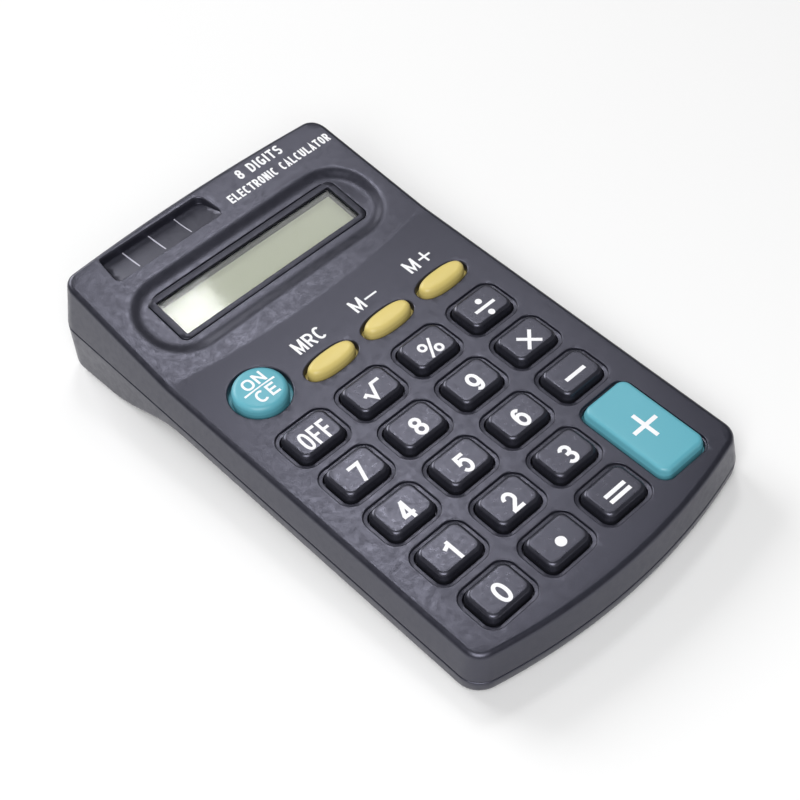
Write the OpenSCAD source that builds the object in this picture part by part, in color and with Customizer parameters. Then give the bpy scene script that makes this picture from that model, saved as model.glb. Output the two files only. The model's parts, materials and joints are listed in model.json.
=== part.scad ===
// Pocket calculator with a raised display end, 23 sprung keys and one AA cell.
// The keypad face is a plane tilted by rest_tilt when the calculator stands on a table.
// Keypad frame: X across, Y towards the display end, Z out of the keypad face.

/* [Body] */
// Width over the seam between the two shells
body_w = 68.4; // [66:0.2:72]
// Lowest Y of the seam outline, at the middle of the front end
front_y = -59.4; // [-60:0.2:-58.8]
// Highest Y of the seam outline, at the middle of the display end
back_y = 60.4; // [60:0.2:61]
// Radius of the bowed front end, in plan
front_bow = 122; // [100:1:180]
// Radius of the bowed display end, in plan
back_bow = 430; // [250:10:800]
// Corner radius of the outline, in plan
corner_r = 5; // [4.6:0.2:6]
// Inward lean of the upper side wall over 10 mm of height
wall_lean = 1.9; // [1:0.1:2.2]
// Height of the seam below the keypad face
seam_z = 6.5; // [6.4:0.1:6.6]
// Thickness of the keypad plate
plate_t = 1.8; // [1.7:0.05:1.85]
// Side wall thickness
wall_t = 1.6; // [1.4:0.1:1.7]
// Tilt of the keypad face above the table, in degrees
rest_tilt = 4; // [3.9:0.05:4.1]

/* [Display end] */
// Tilt of the display face above the keypad face, in degrees
display_tilt = 6.6; // [6:0.2:7]
// Y where the display face starts to rise
crease_y = 24.4; // [24:0.1:24.8]
// Middle of the window along Y
window_y = 37.75; // [37.4:0.05:38]
// Width of the window opening
window_w = 43.9; // [40:0.1:44.2]
// Length of the window opening along the slope
window_h = 9.3; // [8:0.1:9.6]
// Width of the clear lens
lens_w = 46.8; // [46.4:0.1:47.2]
// Length of the clear lens along the slope
lens_h = 11.9; // [11.6:0.1:12]
// Lens thickness
lens_t = 0.8; // [0.7:0.05:0.85]
// Depth of the shallow dish around the window
dish_d = 0.7; // [0.5:0.05:0.8]

/* [Keypad] */
// Distance between key columns
col_pitch = 14.25; // [14.1:0.05:14.35]
// Distance between key rows
row_pitch = 11.44; // [11.3:0.02:11.5]
// Y of the front row of keys
row0_y = -47.2; // [-47.4:0.1:-47]
// Width of a standard key opening
slot_w = 10.9; // [10.7:0.1:11.1]
// Length of a standard key opening along Y
slot_h = 8.35; // [8.15:0.05:8.55]
// Running gap around each key in its opening
key_gap = 0.25; // [0.2:0.05:0.35]
// Height of the key tops above the keypad face
key_rise = 1.45; // [1.2:0.05:1.9]
// Travel of every key
key_travel = 0.8; // [0.6:0.1:0.8]
// Diameter of the round key
on_d = 10.7; // [10.3:0.1:10.9]
// Width of the oval keys
oval_w = 10.8; // [10.4:0.1:11]
// Length of the oval keys along Y
oval_h = 4.5; // [4.3:0.1:4.8]
// Inset of the key top from the key side, all round
key_taper = 0.78; // [0.6:0.02:0.9]

/* [Battery bay] */
// Diameter of the AA cell
cell_d = 14.5; // [14:0.1:14.6]
// Length of the AA cell over its terminal nub
cell_l = 50.5; // [49.5:0.1:50.6]
// Y of the cell's axis
cell_y = 49.5; // [49.3:0.1:49.6]
// Height of the cell's axis, below the keypad face
cell_z = 9.1; // [9:0.05:9.2]
// Width of the battery door
door_w = 56; // [54:0.5:56.5]
// Door thickness
door_t = 1.4; // [1.2:0.1:1.4]

/* [Hidden] */
// offsets that stand the tilted body on the table, centred over the origin
lift = 14.768;
slide_y = -1.127;
case_grey = [0.27, 0.27, 0.31];
key_grey = [0.20, 0.20, 0.23];
teal = [0.36, 0.66, 0.72];
yellow = [0.86, 0.75, 0.36];
steel = [0.72, 0.72, 0.74];
tt = tan(display_tilt);
tr = tan(rest_tilt);
eps = 0.01;
// underside of the keypad part, and the plane that the calculator stands on
belly_z = -10.7;
function table_z(y) = -18.3 - tr * (y - 50);
// window plane: a point at distance s up the slope from the window middle, d below the face
win_z = tt * (window_y - crease_y);
col_x = [for (i = [0:3]) (i - 1.5) * col_pitch];
function row_y(i) = row0_y + i * row_pitch;
on_pos = [col_x[0], 13];
memory_y = 9.4;
case_screw_pos = [[-29.9, -44], [29.9, -44], [-29.6, 34.6], [29.6, 34.6]];
board_screw_pos = [[-29.75, -26], [29.75, -26], [-29.75, 16.5], [29.75, 16.5]];

// ---- two-dimensional outlines ----
function arc(cx, cy, r, a0, a1, n) = [for (i = [0:n]) let (a = a0 + (a1 - a0) * i / n) [cx + r * cos(a), cy + r * sin(a)]];
cxr = body_w / 2 - corner_r;
fcy = front_y + front_bow;
bcy = back_y - back_bow;
fyc = fcy - sqrt(pow(front_bow - corner_r, 2) - cxr * cxr);
byc = bcy + sqrt(pow(back_bow - corner_r, 2) - cxr * cxr);
fa = atan2(fyc - fcy, cxr);
ba = atan2(byc - bcy, cxr);
// plan outline of the body, moved inwards by d
function outline(d) = concat(
  arc(0, fcy, front_bow - d, -180 - fa, fa, 14),
  arc(cxr, fyc, corner_r - d, fa, 0, 5),
  arc(cxr, byc, corner_r - d, 0, ba, 5),
  arc(0, bcy, back_bow - d, ba, 180 - ba, 10),
  arc(-cxr, byc, corner_r - d, 180 - ba, 180, 5),
  arc(-cxr, fyc, corner_r - d, 180, 180 - fa, 5));
// rectangle w x h with rounded corners
function rr(w, h, r, n = 5) = concat(
  arc(w / 2 - r, h / 2 - r, r, 0, 90, n), arc(-w / 2 + r, h / 2 - r, r, 90, 180, n),
  arc(-w / 2 + r, -h / 2 + r, r, 180, 270, n), arc(w / 2 - r, -h / 2 + r, r, 270, 360, n));
function smooth(t) = t * t * (3 - 2 * t);
// lower edge of the side view, from the front end to the display end, moved inwards by d
function belly(d) = concat(
  [[-75, -7.6 + d * 0.4], [front_y + d, -7.6 + d * 0.4], [front_y + 2.6 + d * 0.6, belly_z + d], [22, belly_z + d]],
  [for (i = [1:8]) let (t = i / 8, y = 22 + 24 * t) [y - d * 0.25, belly_z + d + (table_z(46) - belly_z) * smooth(t)]],
  arc(back_y - 7, table_z(back_y - 7) + 7 / cos(rest_tilt), 7 - d, -90 - rest_tilt, 0, 7));
// sweep of a round wire along points, with the ring's reference direction u
function unit(v) = v / norm(v);
function tang(p, i) = i == 0 ? unit(p[1] - p[0]) : i == len(p) - 1 ? unit(p[i] - p[i - 1]) : unit(p[i + 1] - p[i - 1]);
module wire(p, r, u, n = 8) {
  k = len(p);
  pts = [for (i = [0:k - 1]) let (t = tang(p, i), a = unit(cross(t, u)), b = cross(t, a)) for (j = [0:n - 1]) p[i] + r * (a * cos(360 * j / n) + b * sin(360 * j / n))];
  sides = [for (i = [0:k - 2]) for (j = [0:n - 1]) [i * n + j, (i + 1) * n + j, (i + 1) * n + (j + 1) % n, i * n + (j + 1) % n]];
  polyhedron(pts, concat(sides, [[for (j = [0:n - 1]) j]], [[for (j = [n - 1:-1:0]) (k - 1) * n + j]]));
}
// Catmull-Rom point between p[1] and p[2]
function cr(p, t) = 0.5 * (2 * p[1] + t * (p[2] - p[0]) + t * t * (2 * p[0] - 5 * p[1] + 4 * p[2] - p[3]) + t * t * t * (3 * p[1] - p[0] - 3 * p[2] + p[3]));
function curve(q, n) = [for (i = [0:(len(q) - 3) * n]) let (s = min(floor(i / n), len(q) - 4), t = i / n - s) cr([q[s], q[s + 1], q[s + 2], q[s + 3]], t)];

// ---- placing ----
module stand() translate([0, slide_y, lift]) rotate([rest_tilt, 0, 0]) children();
// local frame on the display face, origin at the window's middle
module on_display() translate([0, window_y, win_z]) rotate([display_tilt, 0, 0]) children();
// solid from a side view drawn as [y, z] points
module side_view(pts, w) rotate([90, 0, 90]) translate([0, 0, -w / 2]) linear_extrude(w) polygon(pts);

// ---- shells ----
module key_slots(depth, grow) {
  for (r = [0:4], c = [0:3]) if (!(c == 3 && r < 2)) translate([col_x[c], row_y(r), -depth]) linear_extrude(depth + 3) polygon(rr(slot_w + grow, slot_h + grow, 2 + grow / 2));
}
// openings of the coloured keys; only the tall one has a stepped rim
module colour_slots() {
  translate([col_x[3], row_y(0.5), -3]) linear_extrude(6) polygon(rr(plus_w + 0.5, plus_h + 0.8, 2.3));
  translate([col_x[3], row_y(0.5), -0.45]) linear_extrude(6) polygon(rr(plus_w + 0.95, plus_h + 1.5, 2.6));
  translate([on_pos[0], on_pos[1], -3]) cylinder(d = on_d + 1.3, h = 6, $fn = 64);
  for (c = [1:3]) translate([col_x[c], memory_y, -3]) linear_extrude(6) polygon(rr(oval_w + 1.3, oval_h + 1, oval_h / 2 + 0.5 - eps, 8));
}
module top_case() stand() color(case_grey) difference() {
  union() {
    difference() {
      intersection() {
        translate([0, 0, -seam_z]) linear_extrude(seam_z + 6, scale = [1 - 2 * wall_lean * (seam_z + 6) / 10 / body_w, 1 - 2 * wall_lean * (seam_z + 6) / 10 / (back_y - front_y)]) polygon(outline(0));
        side_view([[-75, -seam_z - 1], [75, -seam_z - 1], [75, tt * (75 - crease_y)], [crease_y, 0], [-75, 0]], 80);
      }
      // hollow inside, under the plate
      intersection() {
        union() {
          translate([0, 0, -seam_z - 1]) linear_extrude(seam_z - 0.2) polygon(outline(wall_t));
          translate([0, 0, -3]) linear_extrude(10) polygon(outline(wall_t + 1.3));
        }
        side_view([[-75, -seam_z - 2], [75, -seam_z - 2], [75, tt * (75 - crease_y) - plate_t], [crease_y, -plate_t], [-75, -plate_t]], 80);
      }
    }
    // thick frame under the window, thick pad under the ramped recess
    intersection() {
      union() {
        on_display() translate([-25.4, -6.9, -3.3]) cube([50.8, 13.8, 2.5]);
        translate([-24.9, 51.2, -0.9]) cube([27.6, 7.1, 4]);
      }
      side_view([[-75, -seam_z], [75, -seam_z], [75, tt * (75 - crease_y) - 0.5], [crease_y, -0.5], [-75, -0.5]], 80);
    }
    // screw bosses and board posts
    for (p = case_screw_pos) translate([p[0], p[1], -seam_z]) cylinder(d = 4.4, h = seam_z - 1, $fn = 32);
    for (p = board_screw_pos) translate([p[0], p[1], -6]) cylinder(d = 3.7, h = 5, $fn = 32);
  }
  // rims and openings of the keys
  key_slots(0.45, 1.45);
  key_slots(3, 0);
  colour_slots();
  // dish, lens seat and window
  on_display() {
    translate([0, -0.2, -dish_d]) linear_extrude(5) polygon(rr(57, 18.4, 8.6, 8));
    translate([0, 0.1, -dish_d - lens_t - 0.1]) linear_extrude(3) polygon(rr(lens_w + 0.2, lens_h + 0.2, 1.6));
    translate([-window_w / 2, -window_h / 2, -5]) cube([window_w, window_h, 6]);
  }
  // ramped recess at the display end
  on_display() side_ramp();
  // pilot holes
  for (p = case_screw_pos) translate([p[0], p[1], -seam_z - 1]) cylinder(d = 2.1, h = seam_z, $fn = 24);
  for (p = board_screw_pos) translate([p[0], p[1], -7]) cylinder(d = 1.6, h = 5.4, $fn = 24);
}
module side_ramp() translate([-11.1, 0, 0]) rotate([90, 0, 90]) translate([0, 0, -12.9]) linear_extrude(25.8) polygon([[12.2, 0.05], [12.2, 3], [19.2, 3], [19.2, -1.5], [15.6, -0.98], [13.6, -0.48]]);

module bottom_case() stand() color(case_grey) difference() {
  union() {
    difference() {
      intersection() {
        translate([0, 0, -25]) linear_extrude(25 - seam_z - 0.25) polygon(outline(0));
        side_view(concat([[-75, 0]], belly(0), [[back_y + 0, 0]]), 80);
      }
      intersection() {
        translate([0, 0, -25]) linear_extrude(30) polygon(outline(wall_t));
        side_view(concat([[-75, 1]], belly(1.5), [[back_y - 1.5, 1]]), 80);
      }
      // bevels along the lower side edges
      for (m = [0, 1]) mirror([m, 0, 0]) for (i = [0:len(low_line) - 2]) edge_bevel(low_line[i], low_line[i + 1], 1.9);
    }
    // lip that fits inside the upper shell
    intersection() {
      difference() {
        translate([0, 0, -8.2]) linear_extrude(2.9) polygon(outline(wall_t + 0.12));
        translate([0, 0, -9]) linear_extrude(5) polygon(outline(wall_t + 1.1));
        for (p = case_screw_pos) translate([p[0], p[1], -seam_z]) cylinder(d = 5, h = 5, $fn = 32);
        for (p = board_screw_pos) translate([p[0], p[1], -9]) cylinder(d = 4.4, h = 6, $fn = 32);
      }
    }
    // walls of the battery bay
    intersection() {
      union() {
        translate([-31.2, 40.4, -19]) cube([62.4, 1, 19 - 9.2]);
        for (x = [-30.4, 26.8]) translate([x, 40.4, -19]) cube([1.2, 18.8, 19 - seam_z - 0.6]);
      }
      side_view(concat([[-75, 0]], belly(0.5), [[back_y - 0.5, 0]]), 80);
    }
    // screw bosses
    intersection() {
      for (p = case_screw_pos) translate([p[0], p[1], -19]) cylinder(d = 6.3, h = 19 - seam_z, $fn = 32);
      translate([0, 0, -25]) linear_extrude(30) polygon(outline(0.4));
      side_view(concat([[-75, 0]], belly(0.4), [[back_y - 0.5, 0]]), 80);
    }
    // two low feet under the front end, flat on the table
    for (x = [-22, 22]) intersection() {
      translate([x, -51, -12]) cylinder(d = 7, h = 2.5, $fn = 48);
      side_view([[-75, 0], [-75, table_z(-75)], [75, table_z(75)], [75, 0]], 80);
    }
  }
  // screw holes, head recesses
  for (p = case_screw_pos) translate([p[0], p[1], -25]) {
    cylinder(d = 2.5, h = 20, $fn = 24);
    cylinder(d = 4.6, h = 25 - 8.7, $fn = 32);
  }
  // mouth of the battery bay, closed by the door
  rotate([-rest_tilt, 0, 0]) translate([-door_w / 2 - 0.2, 0, 0]) rotate([90, 0, 90]) linear_extrude(door_w + 0.4) polygon(door_cut());
  // running slots for the door's side tongues
  for (s = [-1, 1]) rotate([-rest_tilt, 0, 0]) translate([s * (door_w / 2 + 0.4) - 0.75, door_y0 + 0.6, door_z0 + 0.65]) cube([1.5, 30, 0.9]);
  // blank label recess
  translate([-20, -28, belly_z - 1]) cube([40, 30, 1.25]);
}
// 45-degree bevel of size c along the side edge from p to q, both [y, z]
module edge_bevel(p, q, c) translate([body_w / 2 + eps, p[0], p[1]]) rotate([atan2(q[1] - p[1], q[0] - p[0]), 0, 0]) rotate([-90, 0, 0])
  translate([0, 0, -0.25]) linear_extrude(norm(q - p) + 0.5) polygon([[0.5, 0.5], [-c, 0.5], [-c, 0], [0, -c], [0.5, -c]]);
// the belly's lowest line, which the bevels follow
low_line = concat([[-62, belly_z]], [for (i = [0:8]) let (t = i / 8) [22 + 24 * t, belly_z + (table_z(46) - belly_z) * smooth(t)]], [[62, table_z(62)]]);

// The door lies in the table's frame: rotate([-rest_tilt]) turns from keypad frame to it
door_y0 = 43.6;
door_z0 = table_z(50) * cos(rest_tilt) + 50 * sin(rest_tilt) + 0.15;
door_y1 = back_y * cos(rest_tilt) - 12.2 * sin(rest_tilt) - 2.0;
door_top = door_z0 + 6.6;
function door_cut() = [[door_y0 - 0.2, door_z0 - 3], [door_y0 - 0.2, door_z0 + door_t + 0.6], [door_y1 - 3, door_z0 + door_t + 0.6], [door_y1 - 3, door_top + 0.2], [door_y1 + 9, door_top + 0.2], [door_y1 + 9, door_z0 - 3]];
module battery_door() stand() color(case_grey) rotate([-rest_tilt, 0, 0]) {
  difference() {
    rotate([rest_tilt, 0, 0]) intersection() {
      difference() {
        side_view(concat([[-75, 0]], belly(0), [[back_y, 0]]), door_w);
        side_view(concat([[-75, 1]], belly(door_t + 0.15), [[back_y - door_t, 1]]), door_w + 2);
      }
      translate([0, 0, -25]) linear_extrude(30) polygon(outline(0.15));
      rotate([-rest_tilt, 0, 0]) translate([-door_w / 2 - 1, door_y0, door_z0]) cube([door_w + 2, 30, door_top - door_z0]);
    }
    // finger grip grooves
    for (i = [0:4]) translate([-9, door_y0 + 2.4 + 1.5 * i, door_z0 - 1]) cube([18, 0.6, 1.35]);
  }
  // side tongues
  for (s = [-1, 1]) translate([s * (door_w / 2 + 0.1) - 0.65, door_y0 + 0.8, door_z0 + 0.8]) cube([1.3, 9, 0.6]);
}

// ---- display ----
module display_lens() stand() color([0.75, 0.8, 0.82, 0.4]) on_display() translate([0, 0.1, -dish_d - lens_t]) linear_extrude(lens_t) polygon(rr(lens_w, lens_h, 1.5));
module lcd_front_glass() stand() color([0.77, 0.79, 0.72]) on_display() translate([-24.5, -5.6, -4.45]) cube([49, 11.6, 1.1]);
module lcd_rear_glass() stand() color([0.74, 0.77, 0.70]) on_display() translate([-24.5, -7.4, -5.6]) cube([49, 13.4, 1.1]);
module lcd_reflector() stand() color([0.70, 0.71, 0.66]) on_display() translate([-24, -5.2, -5.9]) cube([48, 11, 0.25]);
module lcd_frame() stand() color([0.15, 0.15, 0.16]) on_display() difference() {
  translate([-26.4, -8.6, -6.2]) cube([52.8, 15.9, 2.85]);
  translate([-24.6, -5.75, -7]) cube([49.2, 11.85, 5]);
  translate([-24.6, -7.5, -7]) cube([49.2, 13.6, 2.54]);
  translate([-25, -9, -7]) cube([50, 2.5, 2.6]);
  // clearance for the cell
  rotate([-display_tilt, 0, 0]) translate([-30, cell_y - window_y, -cell_z - win_z]) rotate([0, 90, 0]) cylinder(d = cell_d + 0.6, h = 60, $fn = 96);
}
// the strip stands on the board and touches the underside of the rear glass's ledge
module zebra_strip() stand() color([0.85, 0.5, 0.55]) side_view(
  [for (q = [[-7.2, -5.62], [-5.6, -5.62]]) [window_y + q[0] * cos(display_tilt) - q[1] * sin(display_tilt), win_z + q[0] * sin(display_tilt) + q[1] * cos(display_tilt)],
   [window_y - 5.55 * cos(display_tilt) + 5.62 * sin(display_tilt), -6 + eps], [window_y - 7.15 * cos(display_tilt) + 5.62 * sin(display_tilt), -6 + eps]], 45);

// ---- electronics ----
module circuit_board() stand() color([0.62, 0.45, 0.24]) difference() {
  translate([0, 0, -7.2]) linear_extrude(1.2) intersection() {
    polygon(outline(3));
    translate([-31.1, -54.2]) square([62.2, 88.2]);
  }
  for (p = case_screw_pos) translate([p[0], p[1], -9]) cylinder(d = 6.8, h = 4, $fn = 32);
  for (p = board_screw_pos) translate([p[0], p[1], -9]) cylinder(d = 1.8, h = 4, $fn = 24);
}
module chip_blob() stand() color([0.06, 0.06, 0.07]) translate([4, 4, -7.2]) rotate([180, 0, 0]) rotate_extrude($fn = 64)
  intersection() { translate([0, -7.2]) circle(r = 8.6, $fn = 96); square([6, 2]); }
module board_components() stand() {
  // electrolytic capacitor lying under the board, a ceramic disc and two resistors
  color([0.12, 0.15, 0.35]) translate([6, 30.8, -8.75]) rotate([0, 90, 0]) cylinder(d = 3, h = 5.6, $fn = 32);
  color([0.75, 0.5, 0.2]) translate([-15, 16, -8.4]) cube([4, 1.6, 1.2]);
  for (y = [-6, -10]) color([0.8, 0.7, 0.5]) translate([-18, y, -8.0]) rotate([0, 90, 0]) cylinder(d = 1.56, h = 4.6, $fn = 24);
}
module key_membrane() stand() color([0.78, 0.78, 0.76]) difference() {
  union() {
    translate([0, 0, -5.95]) linear_extrude(0.75) intersection() {
      polygon(outline(4.5));
      translate([-27.5, -53.4]) square([55, 74]);
    }
    for (r = [0:4], c = [0:3]) if (!(c == 3 && r < 2)) translate([col_x[c], row_y(r), -5.3]) dome();
    translate([col_x[3], row_y(0.5), -5.3]) dome();
    translate([on_pos[0], on_pos[1], -5.3]) dome();
    for (c = [1:3]) translate([col_x[c], memory_y, -5.3]) dome();
  }
}
module dome() cylinder(d1 = 4.8, d2 = 3, h = 0.7, $fn = 32);

// ---- battery ----
// the cell lies across the display end, its nub towards +X
cell_x0 = -24.3;
module battery_cell() stand() translate([cell_x0, cell_y, -cell_z]) rotate([0, 90, 0]) {
  color([0.15, 0.35, 0.25]) cylinder(d = cell_d, h = cell_l - 1.3, $fn = 96);
  color(steel) translate([0, 0, cell_l - 1.3 - eps]) cylinder(d = 5.4, h = 1.3 + eps, $fn = 48);
}
module battery_contact() stand() color(steel) {
  translate([cell_x0 + cell_l + 0.05, cell_y - 4.5, -cell_z - 4.5]) cube([0.4, 9, 9]);
  translate([cell_x0 + cell_l + 0.05, cell_y - 8.4, -cell_z + 1.6]) cube([0.4, 4.4, 2]);
}
// conical coil from the cell's flat end to the bay's end wall, with its plate
function spring_pt(a) = [cell_x0 - 0.45 - 3.6 * a / 1620, cell_y + (2.6 + 2.1 * a / 1620) * cos(a), -cell_z + (2.6 + 2.1 * a / 1620) * sin(a)];
module battery_spring() stand() color(steel) {
  wire([for (a = [0:20:1620]) spring_pt(a)], 0.35, [1, 0, 0], 8);
  translate([cell_x0 - 4.75, cell_y - 5, -cell_z - 5]) cube([0.45, 10, 10]);
  translate([cell_x0 - 4.75, cell_y - 8.4, -cell_z + 1.6]) cube([0.45, 4.4, 2]);
}
// leads from the two contacts to the underside of the board
red_route = [[26.1, 46, -7], [26.1, 42.2, -6.9], [26.2, 39.8, -7.2], [26, 37, -8.3], [24, 34, -8.7], [22.4, 31.6, -8.4], [21.8, 30.4, -7.75], [21.6, 30, -6]];
black_route = [[-29, 46, -7], [-28.6, 42.2, -6.9], [-27.6, 39.8, -7.2], [-25.8, 37, -8.3], [-23.6, 34, -8.7], [-22, 31.6, -8.4], [-21.4, 30.4, -7.75], [-21.2, 30, -6]];
module battery_lead_red() stand() color([0.75, 0.1, 0.1]) wire(curve(red_route, 3), 0.5, [1, 0, 0.2]);
module battery_lead_black() stand() color([0.08, 0.08, 0.08]) wire(curve(black_route, 3), 0.5, [1, 0, 0.2]);

// ---- fasteners ----
module pan_screw(d, l, hd, hh) difference() {
  union() {
    cylinder(d = d, h = l, $fn = 24);
    translate([0, 0, -hh]) cylinder(d = hd, h = hh, $fn = 32);
  }
  for (a = [0, 90]) rotate([0, 0, a]) translate([-hd * 0.32, -0.22, -hh - 0.1]) cube([hd * 0.64, 0.44, hh * 0.6]);
}
module case_screws() stand() color(steel) for (p = case_screw_pos) translate([p[0], p[1], -8.7]) pan_screw(2, 6.4, 4, 1.3);
module board_screws() stand() color(steel) for (p = board_screw_pos) translate([p[0], p[1], -7.2]) pan_screw(1.5, 4.4, 2.9, 0.9);

// ---- keys ----
// cap of outer size w x h in its opening, with a collar under the plate and a centre plunger
module cap(w, h, r, rise, taper, collar = 1.2, collar_h = 1.1) {
  intersection() {
    translate([0, 0, -2.6]) linear_extrude(2.6 + rise) polygon(rr(w, h, r));
    rotate([90, 0, 0]) translate([0, 0, -30]) linear_extrude(60) polygon([[-w / 2, -3], [w / 2, -3], [w / 2, 0], [w / 2 - taper, rise + eps], [-w / 2 + taper, rise + eps], [-w / 2, 0]]);
    side_view([[-h / 2, -3], [h / 2, -3], [h / 2, 0], [h / 2 - taper, rise + eps], [-h / 2 + taper, rise + eps], [-h / 2, 0]], 60);
  }
  translate([0, 0, -2.6]) linear_extrude(0.7) polygon(rr(w + collar, h + collar_h, r));
  translate([0, 0, -3.6]) cylinder(d = 2.6, h = 1.2, $fn = 32);
}
sw = slot_w - 2 * key_gap;
sh = slot_h - 2 * key_gap;
plus_w = 11.5;
plus_h = 8.66 + row_pitch;
module dark_key(c, r) stand() color(key_grey) translate([col_x[c], row_y(r), 0]) cap(sw, sh, 1.9, key_rise, key_taper);
module memory_key(c) stand() color(yellow) translate([col_x[c], memory_y, 0]) cap(oval_w, oval_h, oval_h / 2 - eps, key_rise - 0.1, 0.35, 2.4, 2);
module key_on_ce() stand() color(teal) translate([on_pos[0], on_pos[1], 0]) {
  translate([0, 0, -2.6]) cylinder(d = on_d, h = 2.6 + key_rise * 0.65, $fn = 64);
  translate([0, 0, key_rise * 0.65 - eps]) cylinder(d1 = on_d, d2 = on_d - 1.6, h = key_rise * 0.35 + eps, $fn = 64);
  translate([0, 0, -2.6]) cylinder(d = on_d + 2.2, h = 0.7, $fn = 64);
  translate([0, 0, -3.6]) cylinder(d = 2.6, h = 1.2, $fn = 32);
}
module key_mrc() memory_key(1);
module key_m_minus() memory_key(2);
module key_m_plus() memory_key(3);
module key_off() dark_key(0, 4);
module key_sqrt() dark_key(1, 4);
module key_percent() dark_key(2, 4);
module key_divide() dark_key(3, 4);
module key_7() dark_key(0, 3);
module key_8() dark_key(1, 3);
module key_9() dark_key(2, 3);
module key_multiply() dark_key(3, 3);
module key_4() dark_key(0, 2);
module key_5() dark_key(1, 2);
module key_6() dark_key(2, 2);
module key_minus() dark_key(3, 2);
module key_1() dark_key(0, 1);
module key_2() dark_key(1, 1);
module key_3() dark_key(2, 1);
module key_0() dark_key(0, 0);
module key_point() dark_key(1, 0);
module key_equals() dark_key(2, 0);
module key_plus() stand() color(teal) translate([col_x[3], row_y(0.5), 0]) cap(plus_w, plus_h, 2.1, key_rise, key_taper, 0.9, 1.4);

top_case();
bottom_case();
battery_door();
display_lens();
lcd_front_glass();
lcd_rear_glass();
lcd_reflector();
lcd_frame();
zebra_strip();
circuit_board();
chip_blob();
board_components();
key_membrane();
battery_cell();
battery_spring();
battery_contact();
battery_lead_red();
battery_lead_black();
case_screws();
board_screws();
key_on_ce();
key_mrc();
key_m_minus();
key_m_plus();
key_off();
key_sqrt();
key_percent();
key_divide();
key_7();
key_8();
key_9();
key_multiply();
key_4();
key_5();
key_6();
key_minus();
key_1();
key_2();
key_3();
key_plus();
key_0();
key_point();
key_equals();
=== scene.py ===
import json
import math

import bmesh
import bpy
import numpy as np
from mathutils import Matrix, Vector
from mathutils.geometry import delaunay_2d_cdt

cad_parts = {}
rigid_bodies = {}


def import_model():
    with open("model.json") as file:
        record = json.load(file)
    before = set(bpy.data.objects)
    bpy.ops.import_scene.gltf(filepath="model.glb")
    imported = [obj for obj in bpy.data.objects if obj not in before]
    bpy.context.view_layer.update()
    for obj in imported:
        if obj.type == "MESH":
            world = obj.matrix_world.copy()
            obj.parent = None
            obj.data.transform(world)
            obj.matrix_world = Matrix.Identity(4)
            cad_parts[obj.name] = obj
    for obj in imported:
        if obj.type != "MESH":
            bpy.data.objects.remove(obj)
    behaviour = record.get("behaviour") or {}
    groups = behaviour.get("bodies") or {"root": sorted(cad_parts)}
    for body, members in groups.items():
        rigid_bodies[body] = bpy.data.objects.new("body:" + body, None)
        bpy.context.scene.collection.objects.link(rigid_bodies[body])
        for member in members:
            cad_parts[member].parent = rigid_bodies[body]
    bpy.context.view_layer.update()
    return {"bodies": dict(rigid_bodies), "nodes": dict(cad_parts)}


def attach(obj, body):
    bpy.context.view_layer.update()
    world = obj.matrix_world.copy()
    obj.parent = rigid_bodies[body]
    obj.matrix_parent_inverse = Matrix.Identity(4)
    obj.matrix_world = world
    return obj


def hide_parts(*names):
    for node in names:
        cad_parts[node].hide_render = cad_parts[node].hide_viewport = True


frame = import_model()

NODES, BODIES = frame["nodes"], frame["bodies"]
MM = 0.001
CT, ST = math.cos(math.radians(4)), math.sin(math.radians(4))


# ---------------------------------------------------------------- frames
# Everything is drawn in millimetres in the keypad frame (keypad face z = 0) and then stood up.
def to_row(p):
    p = np.asarray(p, float).reshape(-1, 3)
    return np.stack([p[:, 0], p[:, 1] * CT - p[:, 2] * ST - 1.127, p[:, 1] * ST + p[:, 2] * CT + 14.768], 1) * MM


def from_table(y, z):
    """(y, z) in the table's frame to the keypad frame."""
    return y * CT + z * ST, -y * ST + z * CT


# ---------------------------------------------------------------- materials
def nodes_of(name):
    m = bpy.data.materials.new(name)
    m.use_nodes = True
    nt = m.node_tree
    nt.nodes.clear()
    out = nt.nodes.new("ShaderNodeOutputMaterial")
    bsdf = nt.nodes.new("ShaderNodeBsdfPrincipled")
    nt.links.new(bsdf.outputs["BSDF"], out.inputs["Surface"])
    tc = nt.nodes.new("ShaderNodeTexCoord")
    return m, nt, out, bsdf, tc


def noise(nt, tc, scale, detail=3.0, rough=0.55, stretch=None):
    n = nt.nodes.new("ShaderNodeTexNoise")
    n.inputs["Scale"].default_value = scale
    n.inputs["Detail"].default_value = detail
    n.inputs["Roughness"].default_value = rough
    if stretch:
        mp = nt.nodes.new("ShaderNodeMapping")
        mp.inputs["Scale"].default_value = stretch
        nt.links.new(tc.outputs["Object"], mp.inputs["Vector"])
        nt.links.new(mp.outputs["Vector"], n.inputs["Vector"])
    else:
        nt.links.new(tc.outputs["Object"], n.inputs["Vector"])
    return n.outputs["Fac"]


def ramp(nt, fac, stops):
    r = nt.nodes.new("ShaderNodeValToRGB")
    e = r.color_ramp.elements
    while len(e) < len(stops):
        e.new(0.5)
    for k, (pos, col) in enumerate(stops):
        e[k].position = pos
        e[k].color = (*col, 1.0) if len(col) == 3 else col
    nt.links.new(fac, r.inputs["Fac"])
    return r.outputs["Color"]


def spread(nt, fac, lo, hi):
    r = nt.nodes.new("ShaderNodeMapRange")
    r.inputs["From Min"].default_value = 0.3
    r.inputs["From Max"].default_value = 0.7
    r.inputs["To Min"].default_value = lo
    r.inputs["To Max"].default_value = hi
    nt.links.new(fac, r.inputs["Value"])
    return r.outputs["Result"]


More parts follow.
